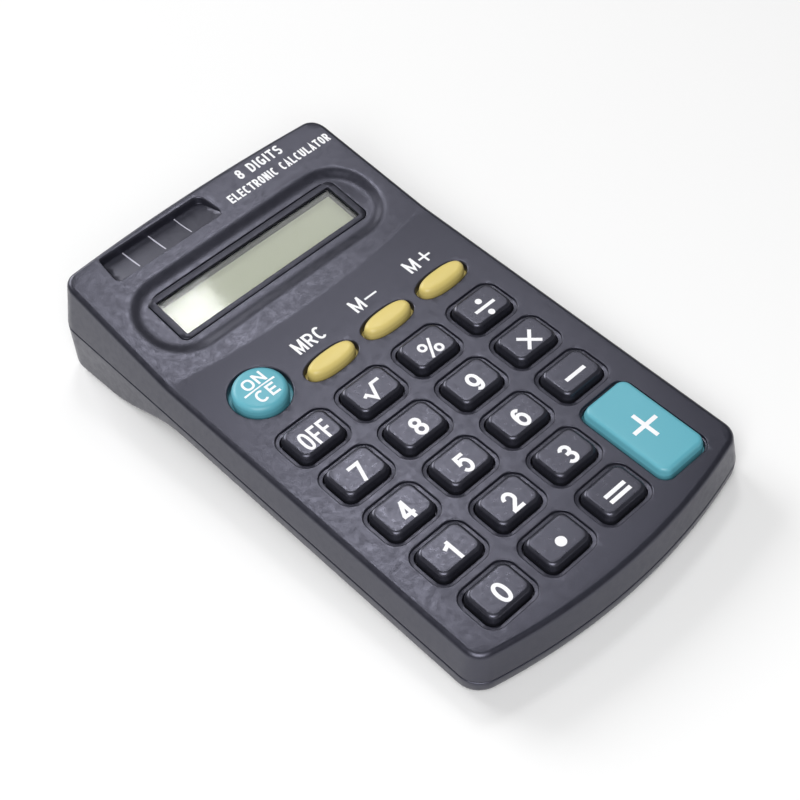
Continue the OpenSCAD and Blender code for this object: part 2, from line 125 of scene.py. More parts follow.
def bump(nt, bsdf, layers):
    """layers: (height output, strength, distance in metres)"""
    last = None
    for h, s, d in layers:
        b = nt.nodes.new("ShaderNodeBump")
        b.inputs["Strength"].default_value = s
        b.inputs["Distance"].default_value = d
        nt.links.new(h, b.inputs["Height"])
        if last:
            nt.links.new(last, b.inputs["Normal"])
        last = b.outputs["Normal"]
    nt.links.new(last, bsdf.inputs["Normal"])


def plastic(name, dark, light, rough, grain=3200, grain_bump=0.35, spec=0.5, coat=0.0, big=60, tint=(0.80, 0.80, 1.0)):
    """Moulded plastic: slight colour drift, fine spark grain and roughness variation."""
    m, nt, out, b, tc = nodes_of(name)
    fine = noise(nt, tc, grain, 4, 0.6)
    broad = noise(nt, tc, big, 3, 0.5)
    nt.links.new(ramp(nt, broad, [(0.3, dark), (0.7, light)]), b.inputs["Base Color"])
    nt.links.new(spread(nt, noise(nt, tc, grain * 0.35, 3), rough - 0.05, rough + 0.07), b.inputs["Roughness"])
    b.inputs["Specular IOR Level"].default_value = spec
    b.inputs["Specular Tint"].default_value = (*tint, 1.0)
    b.inputs["Coat Weight"].default_value = coat
    b.inputs["Coat Roughness"].default_value = 0.15
    bump(nt, b, [(fine, grain_bump, 0.00003), (noise(nt, tc, 420, 2), 0.04, 0.00006)])
    return m


def simple(name, dark, light, rough, metal=0.0, grain=900, strength=0.2, dist=0.00002, stretch=None, spec=0.5, coat=0.0):
    m, nt, out, b, tc = nodes_of(name)
    n = noise(nt, tc, grain, 4, 0.55, stretch)
    nt.links.new(ramp(nt, noise(nt, tc, grain * 0.2, 3), [(0.3, dark), (0.7, light)]), b.inputs["Base Color"])
    nt.links.new(spread(nt, n, rough - 0.06, rough + 0.06), b.inputs["Roughness"])
    b.inputs["Metallic"].default_value = metal
    b.inputs["Specular IOR Level"].default_value = spec
    b.inputs["Coat Weight"].default_value = coat
    bump(nt, b, [(n, strength, dist)])
    return m


def lens_material():
    """Thin clear pane: straight-through light plus a mirror-like reflection that grows at grazing angles."""
    m = bpy.data.materials.new("lens_clear")
    m.use_nodes = True
    nt = m.node_tree
    nt.nodes.clear()
    out = nt.nodes.new("ShaderNodeOutputMaterial")
    mix = nt.nodes.new("ShaderNodeMixShader")
    fr = nt.nodes.new("ShaderNodeFresnel")
    fr.inputs["IOR"].default_value = 1.33
    tr = nt.nodes.new("ShaderNodeBsdfTransparent")
    tr.inputs["Color"].default_value = (0.965, 0.97, 0.965, 1)
    gl = nt.nodes.new("ShaderNodeBsdfGlossy")
    tc = nt.nodes.new("ShaderNodeTexCoord")
    n = noise(nt, tc, 900, 3)
    nt.links.new(spread(nt, n, 0.045, 0.075), gl.inputs["Roughness"])
    nt.links.new(fr.outputs["Fac"], mix.inputs["Fac"])
    nt.links.new(tr.outputs["BSDF"], mix.inputs[1])
    nt.links.new(gl.outputs["BSDF"], mix.inputs[2])
    nt.links.new(mix.outputs["Shader"], out.inputs["Surface"])
    return m


CASE = plastic("case_charcoal", (0.0105, 0.0108, 0.0165), (0.0150, 0.0153, 0.0220), 0.33, grain=2300, grain_bump=0.38, spec=0.9)
CASE_IN = plastic("case_inside", (0.012, 0.012, 0.015), (0.016, 0.016, 0.019), 0.55)
KEY = plastic("key_satin", (0.0115, 0.0118, 0.0165), (0.0145, 0.015, 0.0205), 0.31, grain=3600, grain_bump=0.2, spec=1.0)
TEAL = plastic("key_teal_plastic", (0.11, 0.40, 0.49), (0.13, 0.425, 0.515), 0.36, grain=4200, grain_bump=0.3, tint=(1, 1, 1))
YELLOW = plastic("key_yellow_plastic", (0.68, 0.55, 0.175), (0.74, 0.60, 0.205), 0.38, grain=4200, grain_bump=0.3, tint=(1, 1, 1))
INK = simple("legend_white_ink", (0.86, 0.86, 0.88), (0.93, 0.93, 0.95), 0.45, grain=2400, strength=0.25)
LINE_INK = simple("line_grey_ink", (0.42, 0.42, 0.50), (0.52, 0.52, 0.60), 0.5, grain=2400, strength=0.25)
BORDER = plastic("lens_border", (0.014, 0.0142, 0.020), (0.017, 0.0173, 0.024), 0.34, grain=4200, grain_bump=0.12)
BLACK = simple("black_moulding", (0.012, 0.012, 0.014), (0.020, 0.020, 0.022), 0.5, grain=1800)
LCD = simple("lcd_surface", (0.50, 0.525, 0.395), (0.52, 0.545, 0.415), 0.5, grain=5200, strength=0.03, spec=0.1)
LENS = lens_material()
BOARD = simple("board_laminate", (0.33, 0.19, 0.07), (0.42, 0.25, 0.10), 0.55, grain=1500, stretch=(1, 8, 1))
EPOXY = simple("black_epoxy", (0.010, 0.010, 0.011), (0.018, 0.018, 0.019), 0.25, grain=300, strength=0.3)
COMPONENT = simple("component_body", (0.05, 0.06, 0.10), (0.09, 0.10, 0.16), 0.35, grain=900)
MEMBRANE = simple("membrane_rubber", (0.50, 0.49, 0.46), (0.58, 0.57, 0.53), 0.6, grain=1400)
ZEBRA = simple("zebra_rubber", (0.60, 0.28, 0.32), (0.12, 0.05, 0.06), 0.6, grain=2600, stretch=(1, 0.02, 0.02))
FILM = simple("reflector_film", (0.55, 0.56, 0.52), (0.66, 0.67, 0.62), 0.3, metal=0.6, grain=4000)
JACKET = simple("cell_jacket", (0.07, 0.19, 0.12), (0.09, 0.23, 0.15), 0.32, grain=500, coat=0.4)
CELL_STEEL = simple("cell_steel", (0.62, 0.62, 0.63), (0.72, 0.72, 0.73), 0.28, metal=1.0, grain=1200)
SPRING = simple("spring_steel", (0.60, 0.60, 0.60), (0.72, 0.71, 0.70), 0.27, metal=1.0, grain=1600, stretch=(6, 1, 1))
RED = simple("red_insulation", (0.45, 0.02, 0.015), (0.55, 0.03, 0.02), 0.42, grain=1500)
BLACKW = simple("black_insulation", (0.012, 0.012, 0.012), (0.022, 0.022, 0.022), 0.42, grain=1500)
SCREW = simple("screw_steel", (0.50, 0.50, 0.52), (0.64, 0.64, 0.66), 0.3, metal=1.0, grain=2200)


# ---------------------------------------------------------------- mesh building
def seg_dist(p, loop):
    a, b = loop, np.roll(loop, -1, 0)
    d = b - a
    t = np.clip(((p[:, None] - a) * d).sum(2) / np.maximum((d * d).sum(1), 1e-12), 0, 1)
    return np.linalg.norm(p[:, None] - (a + t[..., None] * d), axis=2).min(1)


def inside(p, loop):
    x, y = p[:, 0][:, None], p[:, 1][:, None]
    x0, y0 = loop[:, 0][None], loop[:, 1][None]
    x1, y1 = np.roll(x0, -1, 1), np.roll(y0, -1, 1)
    cross = ((y0 > y) != (y1 > y)) & (x < (x1 - x0) * (y - y0) / (y1 - y0 + 1e-30) + x0)
    return cross.sum(1) % 2 == 1


class Build:
    def __init__(self):
        self.v, self.f, self.m = [], [], []

    def add(self, pts):
        i = len(self.v)
        self.v.extend([tuple(float(c) for c in p) for p in pts])
        return list(range(i, len(self.v)))

    def strip(self, a, b, mat=0, closed=True):
        n = len(a)
        for i in range(n if closed else n - 1):
            j = (i + 1) % n
            self.f.append((a[i], a[j], b[j], b[i]))
            self.m.append(mat)

    def rings(self, loops, mat=0):
        ids = [self.add(l) for l in loops]
        for a, b in zip(ids, ids[1:]):
            self.strip(a, b, mat)
        return ids

    def fan(self, a, centre, mat=0):
        c = self.add([centre])[0]
        for i in range(len(a)):
            self.f.append((a[i], a[(i + 1) % len(a)], c))
            self.m.append(mat)

    def face(self, a, mat=0):
        self.f.append(tuple(a))
        self.m.append(mat)

    def fill(self, outer, holes, zfun, pts=None, gap=0.5, mat=0):
        """Triangles between the outer loop and the holes, through the free points pts (x, y)."""
        loops = [outer] + holes
        flat = [np.array([self.v[i][:2] for i in l]) for l in loops]
        ids = [i for l in loops for i in l]
        co = [Vector(self.v[i][:2]) for i in ids]
        edges, base = [], 0
        for l in loops:
            edges += [(base + k, base + (k + 1) % len(l)) for k in range(len(l))]
            base += len(l)
        if pts is not None and len(pts):
            pts = np.asarray(pts, float)
            keep = inside(pts, flat[0])
            for h in flat[1:]:
                keep &= ~inside(pts, h)
            pts = pts[keep]
            for l in flat:
                if len(pts):
                    pts = pts[seg_dist(pts, l) > gap]
            new = self.add([(x, y, zfun(x, y)) for x, y in pts])
            ids += new
            co += [Vector(self.v[i][:2]) for i in new]
        ov, oe, of_, back, _, _ = delaunay_2d_cdt(co, edges, [], 0, 1e-6, True)
        where = []
        for k, src in enumerate(back):
            if src:
                where.append(ids[src[0]])
            else:
                where.append(self.add([(ov[k].x, ov[k].y, zfun(ov[k].x, ov[k].y))])[0])
        tri = np.array([[where[i] for i in f] for f in of_])
        c = np.array([[ov[i].to_tuple() for i in f] for f in of_]).mean(1)
        keep = inside(c, flat[0])
        for h in flat[1:]:
            keep &= ~inside(c, h)
        for t in tri[keep]:
            self.f.append(tuple(int(i) for i in t))
            self.m.append(mat)

    def mesh(self, name, row=True):
        me = bpy.data.meshes.new(name)
        v = to_row(self.v) if row else np.array(self.v)
        me.from_pydata([tuple(p) for p in v], [], self.f)
        me.polygons.foreach_set("material_index", self.m)
        bm = bmesh.new()
        bm.from_mesh(me)
        bmesh.ops.remove_doubles(bm, verts=bm.verts, dist=1e-9 if row else 1e-6)
        bmesh.ops.recalc_face_normals(bm, faces=bm.faces)
        bm.to_mesh(me)
        bm.free()
        return me


def finish_piece(me, name, mats, body, replaces=(), angle=38):
    for p in me.polygons:
        p.use_smooth = True
    me.set_sharp_from_angle(angle=math.radians(angle))
    me.materials.clear()
    for m in mats:
        me.materials.append(m)
    o = bpy.data.objects.new(name, me)
    bpy.context.scene.collection.objects.link(o)
    w = o.modifiers.new("normals", "WEIGHTED_NORMAL")
    w.mode = "FACE_AREA"
    w.weight = 60
    w.keep_sharp = True
    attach(o, body)
    if replaces:
        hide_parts(*replaces)
    return o


def rr(cx, cy, w, h, r, n=8, side=1):
    """Rounded rectangle, anticlockwise; each straight side is cut into side pieces."""
    r = max(min(r, w / 2 - 1e-3, h / 2 - 1e-3), 1e-3)
    out = []
    for k, (sx, sy) in enumerate([(1, 1), (-1, 1), (-1, -1), (1, -1)]):
        c = (cx + sx * (w / 2 - r), cy + sy * (h / 2 - r))
        a0 = math.radians(90 * k)
        pts = [(c[0] + r * math.cos(a0 + math.pi / 2 * i / n), c[1] + r * math.sin(a0 + math.pi / 2 * i / n)) for i in range(n + 1)]
        if out and side > 1:
            p, q = out[-1], pts[0]
            out += [(p[0] + (q[0] - p[0]) * t / side, p[1] + (q[1] - p[1]) * t / side) for t in range(1, side)]
        out += pts
    if side > 1:
        p, q = out[-1], out[0]
        out += [(p[0] + (q[0] - p[0]) * t / side, p[1] + (q[1] - p[1]) * t / side) for t in range(1, side)]
    return np.array(out)


def circle(cx, cy, r, n=48, a0=0.0):
    a = a0 + np.arange(n) * 2 * math.pi / n
    return np.stack([cx + r * np.cos(a), cy + r * np.sin(a)], 1)


def oval(cx, cy, a, b, n=64, p=2.45):
    """Long oval with bulging sides, evenly spaced points."""
    t = np.linspace(0, 2 * math.pi, 721)[:-1]
    c, s_ = np.cos(t), np.sin(t)
    q = np.stack([cx + a * np.sign(c) * np.abs(c) ** (2 / p), cy + b * np.sign(s_) * np.abs(s_) ** (2 / p)], 1)
    d = np.r_[0, np.cumsum(np.linalg.norm(np.roll(q, -1, 0) - q, axis=1))]
    q = np.vstack([q, q[:1]])
    u = np.arange(n) * d[-1] / n
    return np.stack([np.interp(u, d, q[:, 0]), np.interp(u, d, q[:, 1])], 1)


def lift(loop, z):
    z = np.broadcast_to(z, (len(loop),))
    return np.column_stack([loop, z])


def sm(t):
    t = min(max(t, 0.0), 1.0)
    return t * t * (3 - 2 * t)


# ---------------------------------------------------------------- body surfaces
TT = math.tan(math.radians(6.6))
SEAM = -6.5


def crease(x):
    return 194.9 - math.sqrt(172.0**2 - min(x * x, 1200.0))


def S(x, y):
    """Height of the outer face: flat keypad, then a gently crowned slope that starts on a curved crease."""
    yc = crease(x)
    t, w = y - yc, 0.4
    h = 0.0 if t < -w else t if t > w else (t + w) ** 2 / (4 * w)
    return h * 4.12 / (60 - yc)


BW, FY, BY, FB, BB, CR = 68.4, -59.4, 60.4, 122.0, 430.0, 5.0


def base_outline():
    cxr = BW / 2 - CR
    fcy, bcy = FY + FB, BY - BB
    fyc = fcy - math.sqrt((FB - CR) ** 2 - cxr**2)
    byc = bcy + math.sqrt((BB - CR) ** 2 - cxr**2)
    fa, ba = math.atan2(fyc - fcy, cxr), math.atan2(byc - bcy, cxr)
    P, N = [], []

    def arc(cx, cy, r, a0, a1, n, skip=True):
        for i in range(1 if skip else 0, n + 1):
            a = a0 + (a1 - a0) * i / n
            P.append((cx + r * math.cos(a), cy + r * math.sin(a)))
            N.append((math.cos(a), math.sin(a)))

    def side(x, y0, y1, n):
        for i in range(1, n):
            P.append((x, y0 + (y1 - y0) * i / n))
            N.append((math.copysign(1, x), 0.0))

    arc(0, fcy, FB, -math.pi - fa, fa, 44, False)
    arc(cxr, fyc, CR, fa, 0, 12)
    side(BW / 2, fyc, byc, 64)
    arc(cxr, byc, CR, 0, ba, 12, False)
    arc(0, bcy, BB, ba, math.pi - ba, 30)
    arc(-cxr, byc, CR, math.pi - ba, math.pi, 12)
    side(-BW / 2, byc, fyc, 64)
    arc(-cxr, fyc, CR, math.pi, math.pi - fa, 12, False)
    P.pop(), N.pop()
    return np.array(P), np.array(N)


OUT, NRM = base_outline()


def off(d):
    return OUT - NRM * np.asarray(d, float).reshape(-1, 1)


# ---------------------------------------------------------------- layout
COLX = [(i - 1.5) * 14.25 for i in range(4)]
ROWY = [-47.2 + i * 11.44 for i in range(5)]
SLOT_W, SLOT_H, GAP, RISE = 10.9, 8.35, 0.25, 1.45
MEM_Y, ON_POS = 9.4, (COLX[0], 13.0)
WIN_Y = 37.75
WIN_Z = TT * (WIN_Y - 24.4)
PLUS_W, PLUS_H = 11.5, 8.66 + 11.44
ON_R, OVAL_W, OVAL_H = 5.35, 10.8, 4.5
LABEL_INK_Z = 0.012


def face_z(x, y):
    """Keypad-frame height of a point on the flat display reference plane."""
    return TT * (y - 24.4)


# ================================================================ upper shell
def top_shell():
    B = Build()
    lean = 0.19 - 0.06 * np.maximum(NRM[:, 1], 0) ** 2
    al = np.arctan(lean)
    r = 1.15
    zf = np.zeros(len(OUT))
    for _ in range(4):
        de = lean * (zf - SEAM) + r * np.tan((math.pi / 2 - al) / 2)
        q = off(de)
        zf = np.array([S(x, y) for x, y in q])
    rings = [lift(off(de), zf)]
    for k in range(1, 8):
        th = (math.pi / 2 - al) * k / 7
        rings.append(lift(off(de - r * np.sin(th)), zf - r + r * np.cos(th)))
    z_end = zf - r + r * np.cos(math.pi / 2 - al)
    for t in (0.35, 0.7):
        z = z_end + (SEAM + 0.22 - z_end) * t
        rings.append(lift(off(lean * (z - SEAM)), z))
    rings.append(lift(off(lean * 0.22), SEAM + 0.22))
    rings.append(lift(off(lean * 0.1 + 0.05), SEAM + 0.1))
    rings.append(lift(off(np.full(len(OUT), 0.24)), SEAM))
    rings.append(lift(off(np.full(len(OUT), 1.6)), SEAM))
    din = lean * 2 + 1.6
    rings.append(lift(off(din), -4.5))
    zi = np.array([S(x, y) for x, y in off(de)]) - 1.8
    din = np.maximum(lean * (zi - SEAM) + 1.6, 1.7)
    rings.append(lift(off(din), zi))
    ids = B.rings(rings)
    flat_edge, inner_edge = ids[0], ids[-1]

    face_holes, skin_holes = [], []

    def rim(loop_fn, prof, z0=None, bottom=-1.8):
        """A hole's rim: prof is (outset, depth) from the face down; the wall then goes to the inner skin."""
        loops = []
        for k, (o, d) in enumerate(prof):
            l = loop_fn(o)
            z = np.array([S(x, y) for x, y in l]) - d
            loops.append(lift(l, z))
        l = loop_fn(prof[-1][0])
        loops.append(lift(l, np.array([S(x, y) for x, y in l]) + bottom))
        got = B.rings(loops)
        face_holes.append(got[0])
        skin_holes.append(got[-1])

    dark = [(1.0, 0.0), (0.92, 0.01), (0.845, 0.045), (0.79, 0.11), (0.765, 0.2), (0.755, 0.38), (0.73, 0.435), (0.67, 0.45), (0.15, 0.45), (0.06, 0.47), (0.015, 0.54), (0.0, 0.65)]
    tall = [(0.52, 0.0), (0.44, 0.01), (0.375, 0.045), (0.33, 0.11), (0.305, 0.2), (0.30, 0.38), (0.28, 0.435), (0.24, 0.45), (0.1, 0.45), (0.04, 0.47), (0.01, 0.54), (0.0, 0.65)]
    for r_ in range(5):
        for c in range(4):
            if c == 3 and r_ < 2:
                continue
            rim(lambda o, c=c, r_=r_: rr(COLX[c], ROWY[r_], SLOT_W + 2 * o, SLOT_H + 2 * o, 2.0 + o), dark)
    soft = [(0.34, 0.0), (0.25, 0.012), (0.16, 0.05), (0.08, 0.12), (0.02, 0.24), (0.0, 0.38)]
    rim(lambda o: rr(COLX[3], ROWY[0] + 5.72, PLUS_W + 0.5 + 2 * o, PLUS_H + 0.9 + 2 * o, 2.3 + o), tall)
    rim(lambda o: circle(ON_POS[0], ON_POS[1], 6.0 + o, 72), soft)
    for c in (1, 2, 3):
        rim(lambda o, c=c: oval(COLX[c], MEM_Y, 6.05 + o, 2.75 + o), soft)

    # dish round the window, deeper towards its right end
    def dish_depth(x, y):
        return 0.7 + 0.35 * sm((x - 20.5) / 7.0) * sm((y - 33) / 8)

    dish = [(1.1, 0.0), (0.75, 0.02), (0.4, 0.08), (0.05, 0.19), (-0.35, 0.37), (-0.8, 0.60), (-1.25, 0.79), (-1.7, 0.92), (-2.2, 0.985), (-2.7, 1.0)]
    loops = []
    for o, f in dish:
        l = rr(0, WIN_Y - 0.2, 57 + 2 * o, 18.4 + 2 * o, 8.6 + o, n=16, side=14)
        loops.append(lift(l, np.array([S(x, y) - f * dish_depth(x, y) for x, y in l])))
    got = B.rings(loops)
    face_holes.append(got[0])
    dish_floor = got[-1]
    # lens seat
    lw, lh = 46.8 + 0.24, 11.9 + 0.24
    loops = []
    for o, d in [(0.16, 0.0), (0.07, 0.02), (0.01, 0.08), (0.0, 0.2), (0.0, 0.95)]:
        l = rr(0, WIN_Y + 0.1, lw + 2 * o, lh + 2 * o, 1.6 + o, n=8, side=12)
        if d < 0.5:
            z = np.array([S(x, y) - dish_depth(x, y) for x, y in l]) - d
        else:
            z = np.array([face_z(x, y) - 0.7 - d for x, y in l])
        loops.append(lift(l, z))
    seat = B.rings(loops)
    B.fill(dish_floor, [seat[0]], lambda x, y: S(x, y) - dish_depth(x, y), grid(1.6, -30, 30, 27, 48), gap=0.5)
    # window through the seat floor
    loops = []
    for d in (1.65, 1.9, 3.3):
        l = rr(0, WIN_Y, 43.9, 9.3, 0.12, n=2, side=8)
        loops.append(lift(l, np.array([face_z(x, y) - d for x, y in l])))
    wn = B.rings(loops, mat=2)
    B.fill(seat[-1], [wn[0]], lambda x, y: face_z(x, y) - 1.65)
    skin_holes.append(wn[-1])

    # ramped recess at the display end
    poly = [(-24.4, 50.2, 1.2), (1.75, 50.2, 1.3), (0.75, 56.95, 1.5), (-23.7, 56.95, 0.6)]

    def ramp_loop(o):
        out = []
        n = len(poly)
        for k in range(n):
            p, a, b = np.array(poly[k][:2]), np.array(poly[k - 1][:2]), np.array(poly[(k + 1) % n][:2])
            u, v = (a - p) / np.linalg.norm(a - p), (b - p) / np.linalg.norm(b - p)
            ang = math.acos(float(u @ v))
            bis = (u + v) / np.linalg.norm(u + v)
            p2 = p - bis * o / math.sin(ang / 2)
            r = max(poly[k][2] + o, 0.05)
            t = r / math.tan(ang / 2)
            c = p2 + bis * r / math.sin(ang / 2)
            s, e = p2 + u * t, p2 + v * t
            a0, a1 = math.atan2(*(s - c)[::-1]), math.atan2(*(e - c)[::-1])
            while a1 < a0:
                a1 += 2 * math.pi
            pts = [(c[0] + r * math.cos(a0 + (a1 - a0) * i / 8), c[1] + r * math.sin(a0 + (a1 - a0) * i / 8)) for i in range(9)]
            if out:
                q = out[-1]
                out += [(q[0] + (pts[0][0] - q[0]) * i / 14, q[1] + (pts[0][1] - q[1]) * i / 14) for i in range(1, 14)]
            out += pts
        q, w = out[-1], out[0]
        out += [(q[0] + (w[0] - q[0]) * i / 14, q[1] + (w[1] - q[1]) * i / 14) for i in range(1, 14)]
        return np.array(out)

    base_r = ramp_loop(0)

    def ramp_depth(y):
        t = min(max((y - 50.2) / 6.75, 0.0), 1.0)
        return 0.004 + RAMP_D * (1 - (1 - t) ** 1.5)

    loops = []
    for o, f in [(0.34, 0.0), (0.22, 0.02), (0.10, 0.09), (0.02, 0.22), (-0.03, 0.4), (-0.16, 0.96), (-0.22, 1.0)]:
        l = ramp_loop(0)
        full = ramp_loop(o)
        res = []
        for (x0, y0), (x1, y1) in zip(l, full):
            d = ramp_depth(y0)
            k = min(1.0, 0.12 + d / 0.6)
            x, y = x0 + (x1 - x0) * k, y0 + (y1 - y0) * k
            res.append((x, y, S(x, y) - f * d))
        loops.append(res)
    got = B.rings(loops)
    face_holes.append(got[0])
    B.fill(got[-1], [], lambda x, y: S(x, y) - ramp_depth(y), grid(1.0, -25, 2, 50, 57), gap=0.4)

    # outer face and inner skin
    pts = [p for p in grid(2.6, -33, 33, -58, 60)]
    for k in np.arange(-33, 33.01, 1.5):
        for t in CREASE_ROWS:
            pts.append((k, crease(k) + t))
    pts = [p for p in pts if not (abs(p[1] - crease(p[0])) < 2.4 and not any(abs(p[1] - crease(p[0]) - t) < 1e-9 for t in CREASE_ROWS))]
    B.fill(flat_edge, face_holes, S, pts, gap=0.55)

    def skin(x, y):
        return S(x, y) - 1.8 - 1.5 * sm((y - 26.5) / 1.5) * sm((29.6 - abs(x)) / 1.0) * sm((59.0 - y) / 1.0)

    B.fill(inner_edge, skin_holes, skin, grid(3.0, -32, 32, -58, 59), gap=0.7, mat=1)
    me = B.mesh("upper_shell")
    return finish_piece(me, "upper_shell", [CASE, CASE_IN, BLACK], "case", ["top_case"], angle=42)


def grid(step, x0, x1, y0, y1):
    out = []
    for j, y in enumerate(np.arange(y0, y1, step * 0.87)):
        for x in np.arange(x0 + (step / 2 if j % 2 else 0), x1, step):
            out.append((x, y))
    return out


RAMP_D = 1.5
CREASE_ROWS = (-1.2, -0.4, -0.2, 0.0, 0.2, 0.4, 1.2)

# ================================================================ lower shell and door
TR = math.tan(math.radians(4))
BELLY = -10.7


def table_z(y):
    return -18.3 - TR * (y - 50)


def belly(y):
    if y < 22:
        return BELLY
    if y < 46:
        return BELLY + (table_z(46) - BELLY) * sm((y - 22) / 24)
    return table_z(y)


def shell_solid(outer_d, wall, floor_t, z_top, closed_top=False):
    """The lower shell as a closed solid; wall None makes it a full solid."""
    B = Build()
    n = NRM[:, 1]
    r = np.where(n > 0, 2.0 + 4.4 * np.array([sm((v - 0.25) / 0.6) for v in n]), 2.0 + 0.5 * np.minimum(-n, 1.0))

    def wallrings(d0, lift_z, rr_, ztop):
        zb = np.array([belly(y) for _, y in off(d0 + rr_)]) + lift_z
        rings = [lift(off(np.full(len(OUT), d0)), ztop)]
        rings.append(lift(off(np.full(len(OUT), d0)), ztop + (zb + rr_ - ztop) * 0.5))
        for k in range(0, 9):
            a = math.pi / 2 * k / 8
            q = off(d0 + rr_ * (1 - math.cos(a)))
            rings.append(lift(q, zb + rr_ * (1 - math.sin(a))))
        return rings

    rings = wallrings(outer_d, 0.0, r - outer_d, z_top - 0.24)
    rings.insert(0, lift(off(np.full(len(OUT), outer_d + 0.07)), z_top - 0.1))
    rings.insert(0, lift(off(np.full(len(OUT), outer_d + 0.26)), z_top))
    ids = B.rings(rings)
    pts = grid(2.0, -33, 33, 20, 48) + grid(6.0, -33, 33, -58, 19) + grid(5.0, -33, 33, 49, 60)
    B.fill(ids[-1], [], lambda x, y: belly(y), pts, gap=0.7)
    if wall is None:
        B.fill(ids[0], [], lambda x, y: z_top)
    else:
        inner = wallrings(outer_d + wall, floor_t, np.maximum(r - wall, 0.6), z_top)
        iid = B.rings(inner, mat=1)
        B.strip(ids[0], iid[0])
        B.fill(iid[-1], [], lambda x, y: belly(y) + floor_t, pts, gap=0.7, mat=1)
    return B


def prism_yz(pts, x0, x1, table=True):
    """Closed prism along X from a polygon of (y, z)."""
    B = Build()
    q = [from_table(y, z) if table else (y, z) for y, z in pts]
    a = B.add([(x0, y, z) for y, z in q])
    b = B.add([(x1, y, z) for y, z in q])
    B.strip(a, b)
    B.face(a)
    B.face(b[::-1])
    return B


def as_object(B, name):
    me = B.mesh(name, row=False)
    o = bpy.data.objects.new(name, me)
    bpy.context.scene.collection.objects.link(o)
    return o


def boolean(target, others):
    """Applies (operation, object) pairs to target's mesh and removes the tools."""
    for op, o in others:
        m = target.modifiers.new("cut", "BOOLEAN")
        m.operation = op
        m.solver = "EXACT"
        m.object = o
        bpy.context.view_layer.update()
        dg = bpy.context.evaluated_depsgraph_get()
        me = bpy.data.meshes.new_from_object(target.evaluated_get(dg))
        target.modifiers.clear()
        target.data = me
    for o in {o for _, o in others}:
        bpy.data.objects.remove(o)
    return target


def mesh_to_row(o, name):
    me = o.data.copy()
    me.name = name
    co = np.zeros(len(me.vertices) * 3)
    me.vertices.foreach_get("co", co)
    me.vertices.foreach_set("co", to_row(co.reshape(-1, 3)).ravel())
    me.update()
    bpy.data.objects.remove(o)
    return me


DZ0 = table_z(50) * CT + 50 * ST + 0.15
DY0, DTOP = 43.6, DZ0 + 6.6
DY1 = BY * CT - 12.2 * ST - 2.0
SCREWS = [(-29.9, -44.0), (29.9, -44.0), (-29.6, 34.6), (29.6, 34.6)]


def screw_cut():
    B = Build()
    for x, y in SCREWS:
        n = 32
        prof = [(2.3, -30.0), (2.3, -8.7), (1.25, -8.7), (1.25, -4.0)]
        rings = [lift(circle(x, y, r, n), z) for r, z in prof]
        ids = B.rings(rings)
        B.face(ids[0])
        B.face(ids[-1][::-1])
    return B


def bosses():
    B = Build()
    for x, y in SCREWS:
        c = circle(x, y, 3.15, 32)
        lo = lift(c, np.array([belly(q[1]) + 0.55 for q in c]))
        ids = B.rings([lo, lift(c, -6.6)])
        B.face(ids[0])
        B.face(ids[1][::-1])
    return B


def label_cut():
    B = Build()
    loops = [lift(rr(0, -13, 40 + 2 * o, 30 + 2 * o, 2.0 + o, n=6), z) for o, z in [(0.3, BELLY - 1.0), (0.3, BELLY - 0.001), (0.12, BELLY + 0.06), (0.02, BELLY + 0.17), (0.0, BELLY + 0.25)]]
    ids = B.rings(loops)
    B.face(ids[0])
    B.face(ids[-1][::-1])
    return B


def slab(x0, x1, ys, zlow, zhigh):
    B = Build()
    a = B.add([(x0, y, zlow(y)) for y in ys] + [(x0, y, zhigh) for y in ys[::-1]])
    b = B.add([(x1, y, zlow(y)) for y in ys] + [(x1, y, zhigh) for y in ys[::-1]])
    B.strip(a, b)
    B.face(a)
    B.face(b[::-1])
    return B


